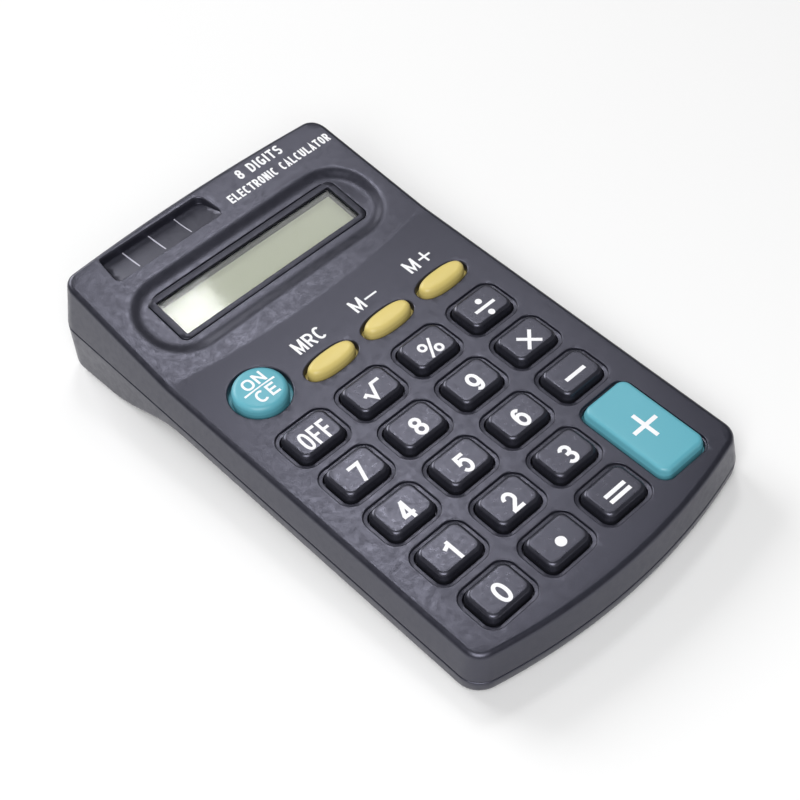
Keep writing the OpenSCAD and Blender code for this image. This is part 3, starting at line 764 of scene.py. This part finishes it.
def lower_shell():
    base = as_object(shell_solid(0.0, 1.6, 1.5, SEAM - 0.25), "tmp_shell")
    door_cut = [(DY0 - 0.2, DZ0 - 3), (DY0 - 0.2, DZ0 + 2.0), (DY1 - 3, DZ0 + 2.0), (DY1 - 3, DTOP + 0.2), (DY1 + 9, DTOP + 0.2), (DY1 + 9, DZ0 - 3)]
    cuts = [("UNION", as_object(bosses(), "tmp_boss")), ("DIFFERENCE", as_object(prism_yz(door_cut, -28.2, 28.2), "tmp_door"))]
    for s in (-1, 1):
        cuts.append(("DIFFERENCE", as_object(prism_yz([(DY0 + 0.6, DZ0 + 0.65), (DY0 + 30, DZ0 + 0.65), (DY0 + 30, DZ0 + 1.55), (DY0 + 0.6, DZ0 + 1.55)], s * 28.4 - 0.75, s * 28.4 + 0.75), f"tmp_slot{s}")))
    cuts.append(("DIFFERENCE", as_object(screw_cut(), "tmp_screw")))
    cuts.append(("DIFFERENCE", as_object(label_cut(), "tmp_label")))
    boolean(base, cuts)
    me = mesh_to_row(base, "lower_shell")
    finish_piece(me, "lower_shell", [CASE, CASE_IN], "case", ["bottom_case"], angle=36)

    # lip, walls of the battery bay, feet
    B = Build()
    loops = [lift(off(np.full(len(OUT), d)), z) for d, z in [(1.74, -8.2), (1.74, -5.5), (1.9, -5.3), (2.55, -5.3), (2.7, -5.5), (2.7, -8.2)]]
    ids = B.rings(loops)
    B.strip(ids[-1], ids[0])
    me = B.mesh("shell_lip")
    finish_piece(me, "shell_lip", [BLACK], "case")
    n = np.linspace(41.0, 57.5, 12)
    low = lambda y: belly(y) + 0.7 if y < 54 else belly(54) + 0.7 + (y - 54) * 0.35
    for name, B in [
        ("bay_wall_front", slab(-31.2, 31.2, np.array([40.4, 40.9, 41.4]), lambda y: belly(y) + 0.7, -9.2)),
        ("bay_wall_left", slab(-30.4, -29.2, n, low, -7.1)),
        ("bay_wall_right", slab(26.8, 28.0, n, low, -7.1)),
    ]:
        finish_piece(B.mesh(name), name, [CASE_IN], "case")
    for k, x in enumerate((-22.0, 22.0)):
        B = Build()
        c = lambda r: circle(x, -51, r, 48)
        tz = lambda r, up: lift(c(r), np.array([table_z(q[1]) + up for q in c(r)]))
        ids = B.rings([lift(c(3.7), BELLY + 0.3), lift(c(3.7), BELLY - 0.02), lift(c(3.55), BELLY - 0.12), tz(3.5, 0.16), tz(3.44, 0.05), tz(3.3, 0.0)])
        B.face(ids[0])
        B.face(ids[-1][::-1])
        finish_piece(B.mesh(f"foot_{k}"), f"foot_{'left' if k == 0 else 'right'}", [CASE], "case")


def door():
    base = as_object(shell_solid(0.0, 1.55, 1.5, SEAM - 0.25), "tmp_shell2")
    box = [(DY0, DZ0 - 3), (DY0, DTOP), (DY0 + 30, DTOP), (DY0 + 30, DZ0 - 3)]
    cuts = [("INTERSECT", as_object(prism_yz(box, -28.0, 28.0), "tmp_box"))]
    for i in range(5):
        y = DY0 + 2.4 + 1.5 * i
        z = DZ0 - 0.15
        cuts.append(("DIFFERENCE", as_object(prism_yz([(y - 0.15, z - 1), (y - 0.15, z + 0.02), (y + 0.1, z + 0.42), (y + 0.5, z + 0.42), (y + 0.75, z + 0.02), (y + 0.75, z - 1)], -9, 9), f"tmp_g{i}")))
    boolean(base, cuts)
    me = mesh_to_row(base, "door_panel")
    finish_piece(me, "door_panel", [CASE, CASE_IN], "battery_door", ["battery_door"], angle=36)
    for s, name in ((-1, "door_tongue_left"), (1, "door_tongue_right")):
        B = prism_yz([(DY0 + 0.8, DZ0 + 0.85), (DY0 + 1.2, DZ0 + 0.8), (DY0 + 9.8, DZ0 + 0.8), (DY0 + 9.8, DZ0 + 1.4), (DY0 + 1.2, DZ0 + 1.4), (DY0 + 0.8, DZ0 + 1.35)], s * 28.1 - 0.65, s * 28.1 + 0.65)
        finish_piece(B.mesh(name), name, [CASE], "battery_door")


# ================================================================ lens and display
def lens():
    def at(l, depth):
        return lift(l, np.array([face_z(x, y) - depth for x, y in l]))

    # opaque border, flush with the dish floor
    B = Build()
    o = lambda g: rr(0, WIN_Y + 0.1, 46.8 - 2 * g, 11.9 - 2 * g, 1.5 - g, n=8, side=12)
    i = lambda g: rr(0, WIN_Y, 43.9 + 2 * g, 9.3 + 2 * g, 0.2 + g, n=3, side=8)
    top = 0.66
    low = 1.12
    ids = B.rings([at(o(0), low), at(o(0), top + 0.2), at(o(0.05), top + 0.08), at(o(0.16), top)])
    iid = B.rings([at(i(0.1), top), at(i(0.04), top + 0.02), at(i(0), top + 0.07), at(i(0), top + 0.25), at(i(0), low)], mat=1)
    B.fill(ids[-1], [iid[0]], lambda x, y: face_z(x, y) - top)
    B.fill(ids[0], [iid[-1]], lambda x, y: face_z(x, y) - low, mat=1)
    finish_piece(B.mesh("lens_border"), "lens_border", [BORDER, BLACK], "case", angle=40)
    B = Build()
    i2 = lambda g: rr(0, WIN_Y + 0.1, 46.4 - 2 * g, 11.5 - 2 * g, 1.2, n=5, side=2)
    ids = B.rings([at(i2(0), 1.44), at(i2(0), 1.16)])
    B.fill(ids[0], [], lambda x, y: face_z(x, y) - 1.44)
    B.fill(ids[1], [], lambda x, y: face_z(x, y) - 1.16)
    finish_piece(B.mesh("lens_pane"), "lens_pane", [LENS], "case", ["display_lens"], angle=40)


# ================================================================ keys
def cap(x, y, loops_fn, prof, crown, collar, name, mat, rise, n):
    """prof: (inset, z) from the skirt to the edge of the top; the top is crowned by crown mm."""
    B = Build()
    loops = [lift(circle(x, y, 1.3, n, math.radians(0)), -3.6), lift(circle(x, y, 1.3, n), -2.6), lift(collar(0.0), -2.6), lift(collar(0.0), -2.0), lift(collar(0.1), -1.9)]
    loops += [lift(loops_fn(i), z) for i, z in [(0.0, -1.9)] + prof]
    edge = loops_fn(prof[-1][0])
    ctr = np.array([x, y])
    for s in (0.88, 0.7, 0.5, 0.25):
        loops.append(lift(ctr + (edge - ctr) * s, rise + crown * (1 - s * s)))
    ids = B.rings(loops)
    B.fan(ids[-1], (x, y, rise + crown))
    B.face(ids[0][::-1])
    return finish_piece(B.mesh(name + "_cap"), name + "_cap", [mat], name, [name], angle=50)


def fillet_prof(lean_deg, z0, r, rise, start=0.04):
    """Skirt that leans in by lean_deg from z0, then a round edge of radius r up to the top."""
    a = math.radians(lean_deg)
    k = math.tan(a)
    wall = lambda z: start + (z - z0) * k
    ti = wall(rise) + r * math.tan((math.pi / 2 - a) / 2)
    prof = [(0.0, z0 - 0.12), (start * 0.4, z0 - 0.02)]
    zc, ic = rise - r, ti
    th0 = math.pi / 2 - a
    z_s, i_s = zc + r * math.cos(th0), ic - r * math.sin(th0)
    for t in (0.1, 0.5, 1.0):
        z = z0 + (z_s - z0) * t
        prof.append((wall(z), z))
    for k2 in range(1, 9):
        th = th0 * (1 - k2 / 8)
        prof.append((ic - r * math.sin(th), zc + r * math.cos(th)))
    return prof


CROWN = 0.0
ON_FIL = fillet_prof(7, 0.1, 1.15, RISE)


def dark_key(name, c, r):
    x, y = COLX[c], ROWY[r]
    w, h = SLOT_W - 2 * GAP, SLOT_H - 2 * GAP
    fn = lambda i: rr(x, y, w - 2 * i, h - 2 * i, max(1.9 - i * 0.8, 0.5), n=8)
    col = lambda i: rr(x, y, w + 1.2 - 2 * i, h + 1.1 - 2 * i, 1.9, n=8)
    cap(x, y, fn, fillet_prof(17, 0.1, 0.75, RISE), CROWN, col, name, KEY, RISE, 36)


def keys():
    for name, c, r in [
        ("key_off", 0, 4), ("key_sqrt", 1, 4), ("key_percent", 2, 4), ("key_divide", 3, 4),
        ("key_7", 0, 3), ("key_8", 1, 3), ("key_9", 2, 3), ("key_multiply", 3, 3),
        ("key_4", 0, 2), ("key_5", 1, 2), ("key_6", 2, 2), ("key_minus", 3, 2),
        ("key_1", 0, 1), ("key_2", 1, 1), ("key_3", 2, 1),
        ("key_0", 0, 0), ("key_point", 1, 0), ("key_equals", 2, 0),
    ]:
        dark_key(name, c, r)
    x, y = COLX[3], ROWY[0] + 5.72
    fn = lambda i: rr(x, y, PLUS_W - 2 * i, PLUS_H - 2 * i, max(2.05 - i * 0.8, 0.5), n=8)
    col = lambda i: rr(x, y, PLUS_W + 0.9 - 2 * i, PLUS_H + 1.4 - 2 * i, 1.9, n=8)
    cap(x, y, fn, fillet_prof(16, 0.1, 0.8, RISE), CROWN, col, "key_plus", TEAL, RISE, 36)
    x, y = ON_POS
    fn = lambda i: circle(x, y, ON_R - i, 64)
    col = lambda i: circle(x, y, ON_R + 1.1 - i, 64)
    cap(x, y, fn, ON_FIL, 0.18, col, "key_on_ce", TEAL, RISE, 64)
    for name, c in (("key_mrc", 1), ("key_m_minus", 2), ("key_m_plus", 3)):
        x, y = COLX[c], MEM_Y
        fn = lambda i: oval(x, y, OVAL_W / 2 - i, OVAL_H / 2 - i)
        col = lambda i: oval(x, y, OVAL_W / 2 + 1.2 - i, OVAL_H / 2 + 1.0 - i)
        cap(x, y, fn, fillet_prof(8, 0.1, 1.1, RISE - 0.1), 0.08, col, name, YELLOW, RISE - 0.1, 64)


# ================================================================ printed legends
def el(cx, cy, rx, ry, a0, a1, n=18, p=1.0):
    out = []
    for i in range(n + 1):
        a = math.radians(a0 + (a1 - a0) * i / n)
        c, s = math.cos(a), math.sin(a)
        out.append((cx + rx * math.copysign(abs(c) ** p, c), cy + ry * math.copysign(abs(s) ** p, s)))
    return out


def glyph(ch, W, H, t):
    """Strokes of a plain bold letter in a box W x H with pen width t: (points, closed)."""
    h = t / 2
    cx, cy, R, T = W / 2, H / 2, W - h, H - h
    rx, ry = (W - t) / 2, (H - t) / 2
    if ch == "0":
        return [(el(cx, cy, rx, ry, 0, 360, 40, 0.92)[:-1], True)]
    if ch == "O":
        return [(el(cx, cy, rx, ry, 0, 360, 40, 0.85)[:-1], True)]
    if ch == "1":
        return [([(0.64 * W, 0), (0.64 * W, H)], False), ([(0.64 * W, H - 0.16 * H), (0.12 * W, 0.72 * H)], False)]
    if ch == "2":
        r2 = 0.27 * H
        return [(el(cx, T - r2, rx, r2, 172, -28, 20) + [(h + 0.02 * W, h + 0.04 * H), (h, h)], False), ([(0, h), (W, h)], False)]
    if ch == "3":
        ru, rl = 0.47 * ry, 0.53 * ry
        return [
            (el(cx, T - ru, rx * 0.92, ru, 158, -90, 22) + [(cx - 0.16 * W, T - 2 * ru)], False),
            ([(cx - 0.16 * W, h + 2 * rl)] + el(cx, h + rl, rx, rl, 90, -158, 22), False),
        ]
    if ch == "4":
        return [([(0.72 * W, 0), (0.72 * W, H)], False), ([(0.70 * W, H - h * 0.9), (h * 0.95, 0.30 * H)], False), ([(0.02 * W, 0.27 * H), (W, 0.27 * H)], False)]
    if ch == "5":
        rb = 0.30 * H
        return [([(0.93 * W, T), (0.24 * W, T)], False), ([(0.26 * W, H), (0.17 * W, 0.47 * H)], False), (el(cx, h + rb, rx, rb, 138, -155, 24), False)]
    if ch in "69":
        rb = 0.285 * H
        s = [(el(cx, h + rb, rx, rb, 0, 360, 32)[:-1], True), (el(cx, cy, rx, ry, 195, 52, 18, 0.9), False)]
        if ch == "9":
            s = [([(W - x, H - y) for x, y in p], c) for p, c in s]
        return s
    if ch == "7":
        return [([(0, T), (W - h * 0.9, T), (0.36 * W, 0)], False)]
    if ch == "8":
        ru, rl = 0.46 * ry, 0.54 * ry
        return [(el(cx, T - ru, rx * 0.88, ru, 0, 360, 30)[:-1], True), (el(cx, h + rl, rx, rl, 0, 360, 30)[:-1], True)]
    if ch == "A":
        return [([(h * 0.9, 0), (cx, H - h * 0.6), (W - h * 0.9, 0)], False), ([(0.2 * W, 0.27 * H), (0.8 * W, 0.27 * H)], False)]
    if ch == "C":
        return [(el(cx, cy, rx, ry, 48, 312, 30, 0.88), False)]
    if ch == "G":
        return [(el(cx, cy, rx, ry, 48, 350, 30, 0.88), False), ([(W - h, 0.1 * H), (W - h, 0.46 * H), (0.55 * W, 0.46 * H)], False)]
    if ch == "D":
        return [([(h, 0), (h, H)], False), ([(h, T), (cx * 0.9, T)] + el(cx * 0.9, cy, R - cx * 0.9, ry, 90, -90, 18, 0.9) + [(h, h)], False)]
    if ch == "E":
        return [([(h, 0), (h, H)], False), ([(h, T), (W, T)], False), ([(h, 0.52 * H), (0.92 * W, 0.52 * H)], False), ([(h, h), (W, h)], False)]
    if ch == "F":
        return [([(h, 0), (h, H)], False), ([(h, T), (W, T)], False), ([(h, 0.5 * H), (0.9 * W, 0.5 * H)], False)]
    if ch == "I":
        return [([(cx, 0), (cx, H)], False)]
    if ch == "L":
        return [([(h, 0), (h, H)], False), ([(h, h), (W, h)], False)]
    if ch == "M":
        return [([(h, 0), (h, H)], False), ([(R, 0), (R, H)], False), ([(h, H - h * 0.7), (cx, 0.12 * H), (R, H - h * 0.7)], False)]
    if ch == "N":
        return [([(h, 0), (h, H)], False), ([(R, 0), (R, H)], False), ([(h, H - h * 0.5), (R, h * 0.5)], False)]
    if ch == "R":
        ym = 0.46 * H
        return [([(h, 0), (h, H)], False), ([(h, T), (cx, T)] + el(cx, (T + ym) / 2, R - cx, (T - ym) / 2, 90, -90, 14) + [(h, ym)], False), ([(0.5 * W, ym), (R, 0)], False)]
    if ch == "S":
        ru, rl = 0.48 * ry, 0.52 * ry
        return [(el(cx, T - ru, rx, ru, 28, 270, 20) + el(cx, h + rl, rx, rl, 90, -150, 20), False)]
    if ch == "T":
        return [([(0, T), (W, T)], False), ([(cx, 0), (cx, H)], False)]
    if ch == "U":
        return [([(h, H), (h, 0.35 * H)] + el(cx, 0.35 * H, rx, 0.35 * H - h, 180, 360, 16) + [(R, H)], False)]
    if ch == "+":
        return [([(0, cy), (W, cy)], False), ([(cx, 0), (cx, H)], False)]
    if ch == "-":
        return [([(0, cy), (W, cy)], False)]
    if ch == "=":
        return [([(0, h), (W, h)], False), ([(0, T), (W, T)], False)]
    if ch == "x":
        return [([(h * 0.7, h * 0.7), (W - h * 0.7, H - h * 0.7)], False), ([(h * 0.7, H - h * 0.7), (W - h * 0.7, h * 0.7)], False)]
    if ch == "%":
        return [(el(0.22 * W, 0.74 * H, 0.16 * W, 0.18 * H, 0, 360, 24)[:-1], True), (el(0.78 * W, 0.26 * H, 0.16 * W, 0.18 * H, 0, 360, 24)[:-1], True), ([(0.22 * W, 0), (0.78 * W, H)], False)]
    if ch == "v":
        return [([(0, 0.46 * H), (0.14 * W, 0.55 * H), (0.36 * W, h * 1.3), (0.62 * W, T), (W, T)], False)]
    return []


def stroke_quads(pts, t, closed):
    """Quads that cover a pen stroke of width t, with mitred joints."""
    p = [np.array(q, float) for q in pts]
    p = np.array([q for i, q in enumerate(p) if i == 0 or np.linalg.norm(q - p[i - 1]) > 1e-4])
    n = len(p)
    L, R = [], []
    for i in range(n):
        a = p[i] - p[i - 1] if (i > 0 or closed) else p[1] - p[0]
        b = p[(i + 1) % n] - p[i] if (i < n - 1 or closed) else p[-1] - p[-2]
        a, b = a / np.linalg.norm(a), b / np.linalg.norm(b)
        na, nb = np.array([-a[1], a[0]]), np.array([-b[1], b[0]])
        m = na + nb
        m /= max(np.linalg.norm(m), 1e-6)
        k = min(1 / max(float(m @ na), 0.35), 2.4)
        L.append(p[i] + m * k * t / 2)
        R.append(p[i] - m * k * t / 2)
    out = []
    for i in range(n if closed else n - 1):
        j = (i + 1) % n
        out.append(np.array([L[i], L[j], R[j], R[i]]))
    return out


def ink(name, polys, zfun, body, mat=None, proud=0.02, dens=0.6):
    """One flat printed mark: the union of the polygons, laid on a surface."""
    co, edges = [], []
    for q in polys:
        b = len(co)
        co += [Vector(v) for v in q]
        edges += [(b + i, b + (i + 1) % len(q)) for i in range(len(q))]
    allp = np.vstack(polys)
    lo, hi = allp.min(0), allp.max(0)
    extra = np.array(grid(dens, lo[0], hi[0], lo[1], hi[1])).reshape(-1, 2)
    if len(extra):
        hit = np.zeros(len(extra), bool)
        for q in polys:
            hit |= inside(extra, q)
        co += [Vector(v) for v in extra[hit]]
    ov, oe, of_, *_ = delaunay_2d_cdt(co, edges, [], 0, 1e-5, False)
    v = np.array([p.to_tuple() for p in ov])
    c = np.array([v[list(f)].mean(0) for f in of_])
    hit = np.zeros(len(of_), bool)
    for q in polys:
        hit |= inside(c, q)
    B = Build()
    top = B.add([(x, y, zfun(x, y) + proud) for x, y in v])
    low = B.add([(x, y, zfun(x, y) - 0.06) for x, y in v])
    seen = {}
    for f, ok in zip(of_, hit):
        if ok:
            B.face([top[i] for i in f])
            B.face([low[i] for i in f][::-1])
            for i in range(len(f)):
                e = (f[i], f[(i + 1) % len(f)])
                seen[e] = 1
    for a, b in seen:
        if (b, a) not in seen:
            B.face([top[a], top[b], low[b], low[a]])
    me = B.mesh(name)
    bm = bmesh.new()
    bm.from_mesh(me)
    bmesh.ops.delete(bm, geom=[x for x in bm.verts if not x.link_faces], context="VERTS")
    bm.to_mesh(me)
    bm.free()
    return finish_piece(me, name, [mat or INK], body, angle=30)


def text_polys(text, cx, cy, H, widths, t, gap, slant=0.0):
    """Polygons of a line of text centred on (cx, cy)."""
    ws = [widths.get(ch, widths["*"]) for ch in text]
    total = sum(ws) + gap * (len(text) - 1)
    x, out = cx - total / 2, []
    for ch, w in zip(text, ws):
        for pts, closed in glyph(ch, w, H, t) if ch != " " else []:
            for q in stroke_quads(pts, t, closed):
                out.append(q + np.array([x, cy - H / 2]))
        x += w + gap
    return out


def key_top(x0, y0, rise, crown, w, h):
    return lambda x, y: rise + crown * (1 - min(1.0, max(((x - x0) / (w / 2)) ** 2, ((y - y0) / (h / 2)) ** 2)))


def legends():
    dy = -0.78
    table = {
        "key_7": ("7", 0, 3), "key_8": ("8", 1, 3), "key_9": ("9", 2, 3),
        "key_4": ("4", 0, 2), "key_5": ("5", 1, 2), "key_6": ("6", 2, 2),
        "key_1": ("1", 0, 1), "key_2": ("2", 1, 1), "key_3": ("3", 2, 1), "key_0": ("0", 0, 0),
    }
    for name, (ch, c, r) in table.items():
        x, y = COLX[c], ROWY[r]
        z = key_top(x, y, RISE, CROWN, 8.5, 6.0)
        ink(name + "_print", text_polys(ch, x, y + dy, 4.3, {"*": 2.6}, 0.74, 0), z, name)

    def sign(name, ch, c, r, W, H, t, body=None, rise=RISE):
        x, y = COLX[c], ROWY[r]
        z = key_top(x, y, rise, CROWN, 8.5, 6.0)
        ink(name + "_print", text_polys(ch, x, y + dy, H, {"*": W}, t, 0), z, name)

    sign("key_multiply", "x", 3, 3, 3.9, 3.9, 0.72)
    sign("key_minus", "-", 3, 2, 4.9, 0.8, 0.8)
    sign("key_equals", "=", 2, 0, 5.0, 2.2, 0.8)
    sign("key_percent", "%", 2, 4, 4.3, 4.2, 0.55)
    sign("key_sqrt", "v", 1, 4, 4.9, 4.0, 0.66)
    x, y = COLX[1], ROWY[0]
    ink("key_point_print", [circle(x, y + dy, 1.05, 28)], key_top(x, y, RISE, CROWN, 8.5, 6.0), "key_point")
    x, y = COLX[3], ROWY[4]
    ink("key_divide_print", text_polys("-", x, y + dy, 0.7, {"*": 4.9}, 0.7, 0) + [circle(x, y + dy + 1.75, 0.68, 22), circle(x, y + dy - 1.75, 0.68, 22)], key_top(x, y, RISE, CROWN, 8.5, 6.0), "key_divide")
    x, y = COLX[0], ROWY[4]
    ink("key_off_print", text_polys("OFF", x, y + dy, 4.3, {"*": 1.75, "O": 2.0}, 0.6, 0.42), key_top(x, y, RISE, CROWN, 8.5, 6.0), "key_off")
    x, y = COLX[3], ROWY[0] + 5.72
    ink("key_plus_print", text_polys("+", x, y - 0.3, 6.0, {"*": 5.9}, 0.85, 0), key_top(x, y, RISE, CROWN, 9.2, 18.2), "key_plus")
    x, y = ON_POS
    re = ON_R - ON_FIL[-1][0]

    def z(px, py):
        d = math.hypot(px - x, py - y)
        if d <= re:
            return RISE + 0.18 * (1 - (d / re) ** 2)
        return RISE - 1.15 + math.sqrt(max(1.15**2 - (d - re) ** 2, 0.0)) + 0.005

    polys = text_polys("ON", x, y + 1.8, 2.7, {"*": 2.05, "O": 2.3}, 0.48, 0.42) + text_polys("CE", x + 0.15, y - 1.9, 2.7, {"*": 1.95, "C": 2.2}, 0.48, 0.45)
    polys += [np.array([(x - 3.5, y - 0.22), (x + 3.5, y - 0.22), (x + 3.5, y + 0.22), (x - 3.5, y + 0.22)])]
    ink("key_on_ce_print", polys, z, "key_on_ce", dens=0.3, proud=0.03)
    flat = lambda px, py: S(px, py)
    ink("label_mrc", text_polys("MRC", -6.8, 16.05, 3.3, {"*": 1.95, "M": 2.3}, 0.52, 0.4), flat, "case")
    ink("label_m_minus", text_polys("M", 5.5, 16.05, 3.3, {"*": 2.6}, 0.52, 0.4) + text_polys("-", 8.95, 16.05, 0.42, {"*": 3.0}, 0.42, 0), flat, "case")
    ink("label_m_plus", text_polys("M", 19.7, 16.05, 3.3, {"*": 2.6}, 0.52, 0.4) + text_polys("+", 23.2, 16.05, 2.9, {"*": 2.9}, 0.46, 0), flat, "case")
    ink("label_type", text_polys("ELECTRONIC CALCULATOR", 17.7, 51.9, 2.15, {"*": 1.04, "I": 0.45, " ": 0.7}, 0.40, 0.27), flat, "case", dens=1.0)
    ink("label_digits", text_polys("8 DIGITS", 15.5, 55.75, 2.5, {"*": 1.4, "I": 0.5, " ": 0.9}, 0.46, 0.36), flat, "case", dens=1.0)
    for k, x in enumerate((-18.75, -12.4, -5.95)):
        def zf(px, py):
            t = min(max((py - 50.2) / 6.75, 0.0), 1.0)
            return S(px, py) - 0.004 - RAMP_D * (1 - (1 - t) ** 1.5)

        ink(f"recess_line_{k}", [np.array([(x - 0.11, 50.9), (x + 0.11, 50.9), (x + 0.11, 56.6), (x - 0.11, 56.6)])], zf, "case", LINE_INK, proud=0.02, dens=0.22)


# ================================================================ CAD nodes that stay
def dress():
    mats = {
        "lcd_front_glass": LCD, "lcd_rear_glass": LCD, "lcd_reflector": FILM, "lcd_frame": BLACK, "zebra_strip": ZEBRA,
        "circuit_board": BOARD, "chip_blob": EPOXY, "board_components": COMPONENT, "key_membrane": MEMBRANE,
        "battery_cell": JACKET, "battery_spring": SPRING, "battery_contact": SPRING, "battery_lead_red": RED, "battery_lead_black": BLACKW,
        "case_screws": SCREW, "board_screws": SCREW,
    }
    for n, m in mats.items():
        o = NODES[n]
        if len(o.material_slots) == 0:
            o.data.materials.append(m)
        for s in o.material_slots:
            s.material = m


# ================================================================ scene
def stage():
    B = Build()
    me = bpy.data.meshes.new("floor")
    s = 3.0
    me.from_pydata([(-s, -s, -0.00005), (s, -s, -0.00005), (s, s, -0.00005), (-s, s, -0.00005)], [], [(0, 1, 2, 3)])
    o = bpy.data.objects.new("floor", me)
    bpy.context.scene.collection.objects.link(o)
    m, nt, out, b, tc = nodes_of("floor_white")
    nt.links.new(ramp(nt, noise(nt, tc, 3, 2), [(0.3, (0.90, 0.90, 0.90)), (0.7, (0.915, 0.915, 0.915))]), b.inputs["Base Color"])
    b.inputs["Roughness"].default_value = 0.9
    b.inputs["Specular IOR Level"].default_value = 0.1
    me.materials.append(m)

    def area(name, loc, target, sx, sy, power, color=(1, 1, 1), spread_deg=180):
        l = bpy.data.lights.new(name, "AREA")
        l.shape = "RECTANGLE"
        l.size, l.size_y = sx, sy
        l.energy = power
        l.color = color
        l.spread = math.radians(spread_deg)
        ob = bpy.data.objects.new(name, l)
        ob.location = loc
        d = Vector(target) - Vector(loc)
        ob.rotation_euler = d.to_track_quat("-Z", "Y").to_euler()
        bpy.context.scene.collection.objects.link(ob)
        return ob

    area("softbox_back", (-0.05, 0.95, 0.60), (0.0, 0.0, 0.0), 0.70, 0.50, 7.0)
    area("softbox_front_left", (-0.40, -0.38, 0.62), (0.0, 0.0, 0.0), 0.55, 0.50, 5.6)
    area("softbox_high", (0.19, 0.222, 0.62), (0.19, 0.2219, 0.0), 0.10, 0.10, 0.53)
    area("softbox_fill", (0.33, 0.26, 0.62), (0.33, 0.2599, 0.0), 0.18, 0.22, 0.36)
    w = bpy.data.worlds.new("studio")
    bpy.context.scene.world = w
    w.use_nodes = True
    bg = w.node_tree.nodes["Background"]
    bg.inputs["Color"].default_value = (1, 1, 1, 1)
    bg.inputs["Strength"].default_value = 0.16

    c = bpy.data.cameras.new("camera")
    c.lens, c.sensor_width = 75.0166625929713, 36
    c.clip_start, c.clip_end = 0.01, 20
    cam = bpy.data.objects.new("camera", c)
    bpy.context.scene.collection.objects.link(cam)
    right = Vector((0.7217570496655162, -0.6881676887650421, -0.07410798471089057))
    up = Vector((0.5545461320758255, 0.5108753145974638, 0.6568751786562522))
    back = Vector((-0.41418033349963695, -0.5152005872228043, 0.7503485898350224))
    m = Matrix.Identity(4)
    for i in range(3):
        m[i][0], m[i][1], m[i][2] = right[i], up[i], back[i]
    m[0][3], m[1][3], m[2][3] = -0.12932622984636652, -0.16249357357184315, 0.240296827415268
    cam.matrix_world = m
    sc = bpy.context.scene
    sc.camera = cam
    sc.view_settings.view_transform = "Standard"
    sc.view_settings.look = "None"
    sc.view_settings.exposure = 0.0
    sc.cycles.use_denoising = True
    sc.cycles.max_bounces = 8
    sc.cycles.transparent_max_bounces = 12


top_shell()
lower_shell()
door()
lens()
keys()
legends()
dress()
stage()
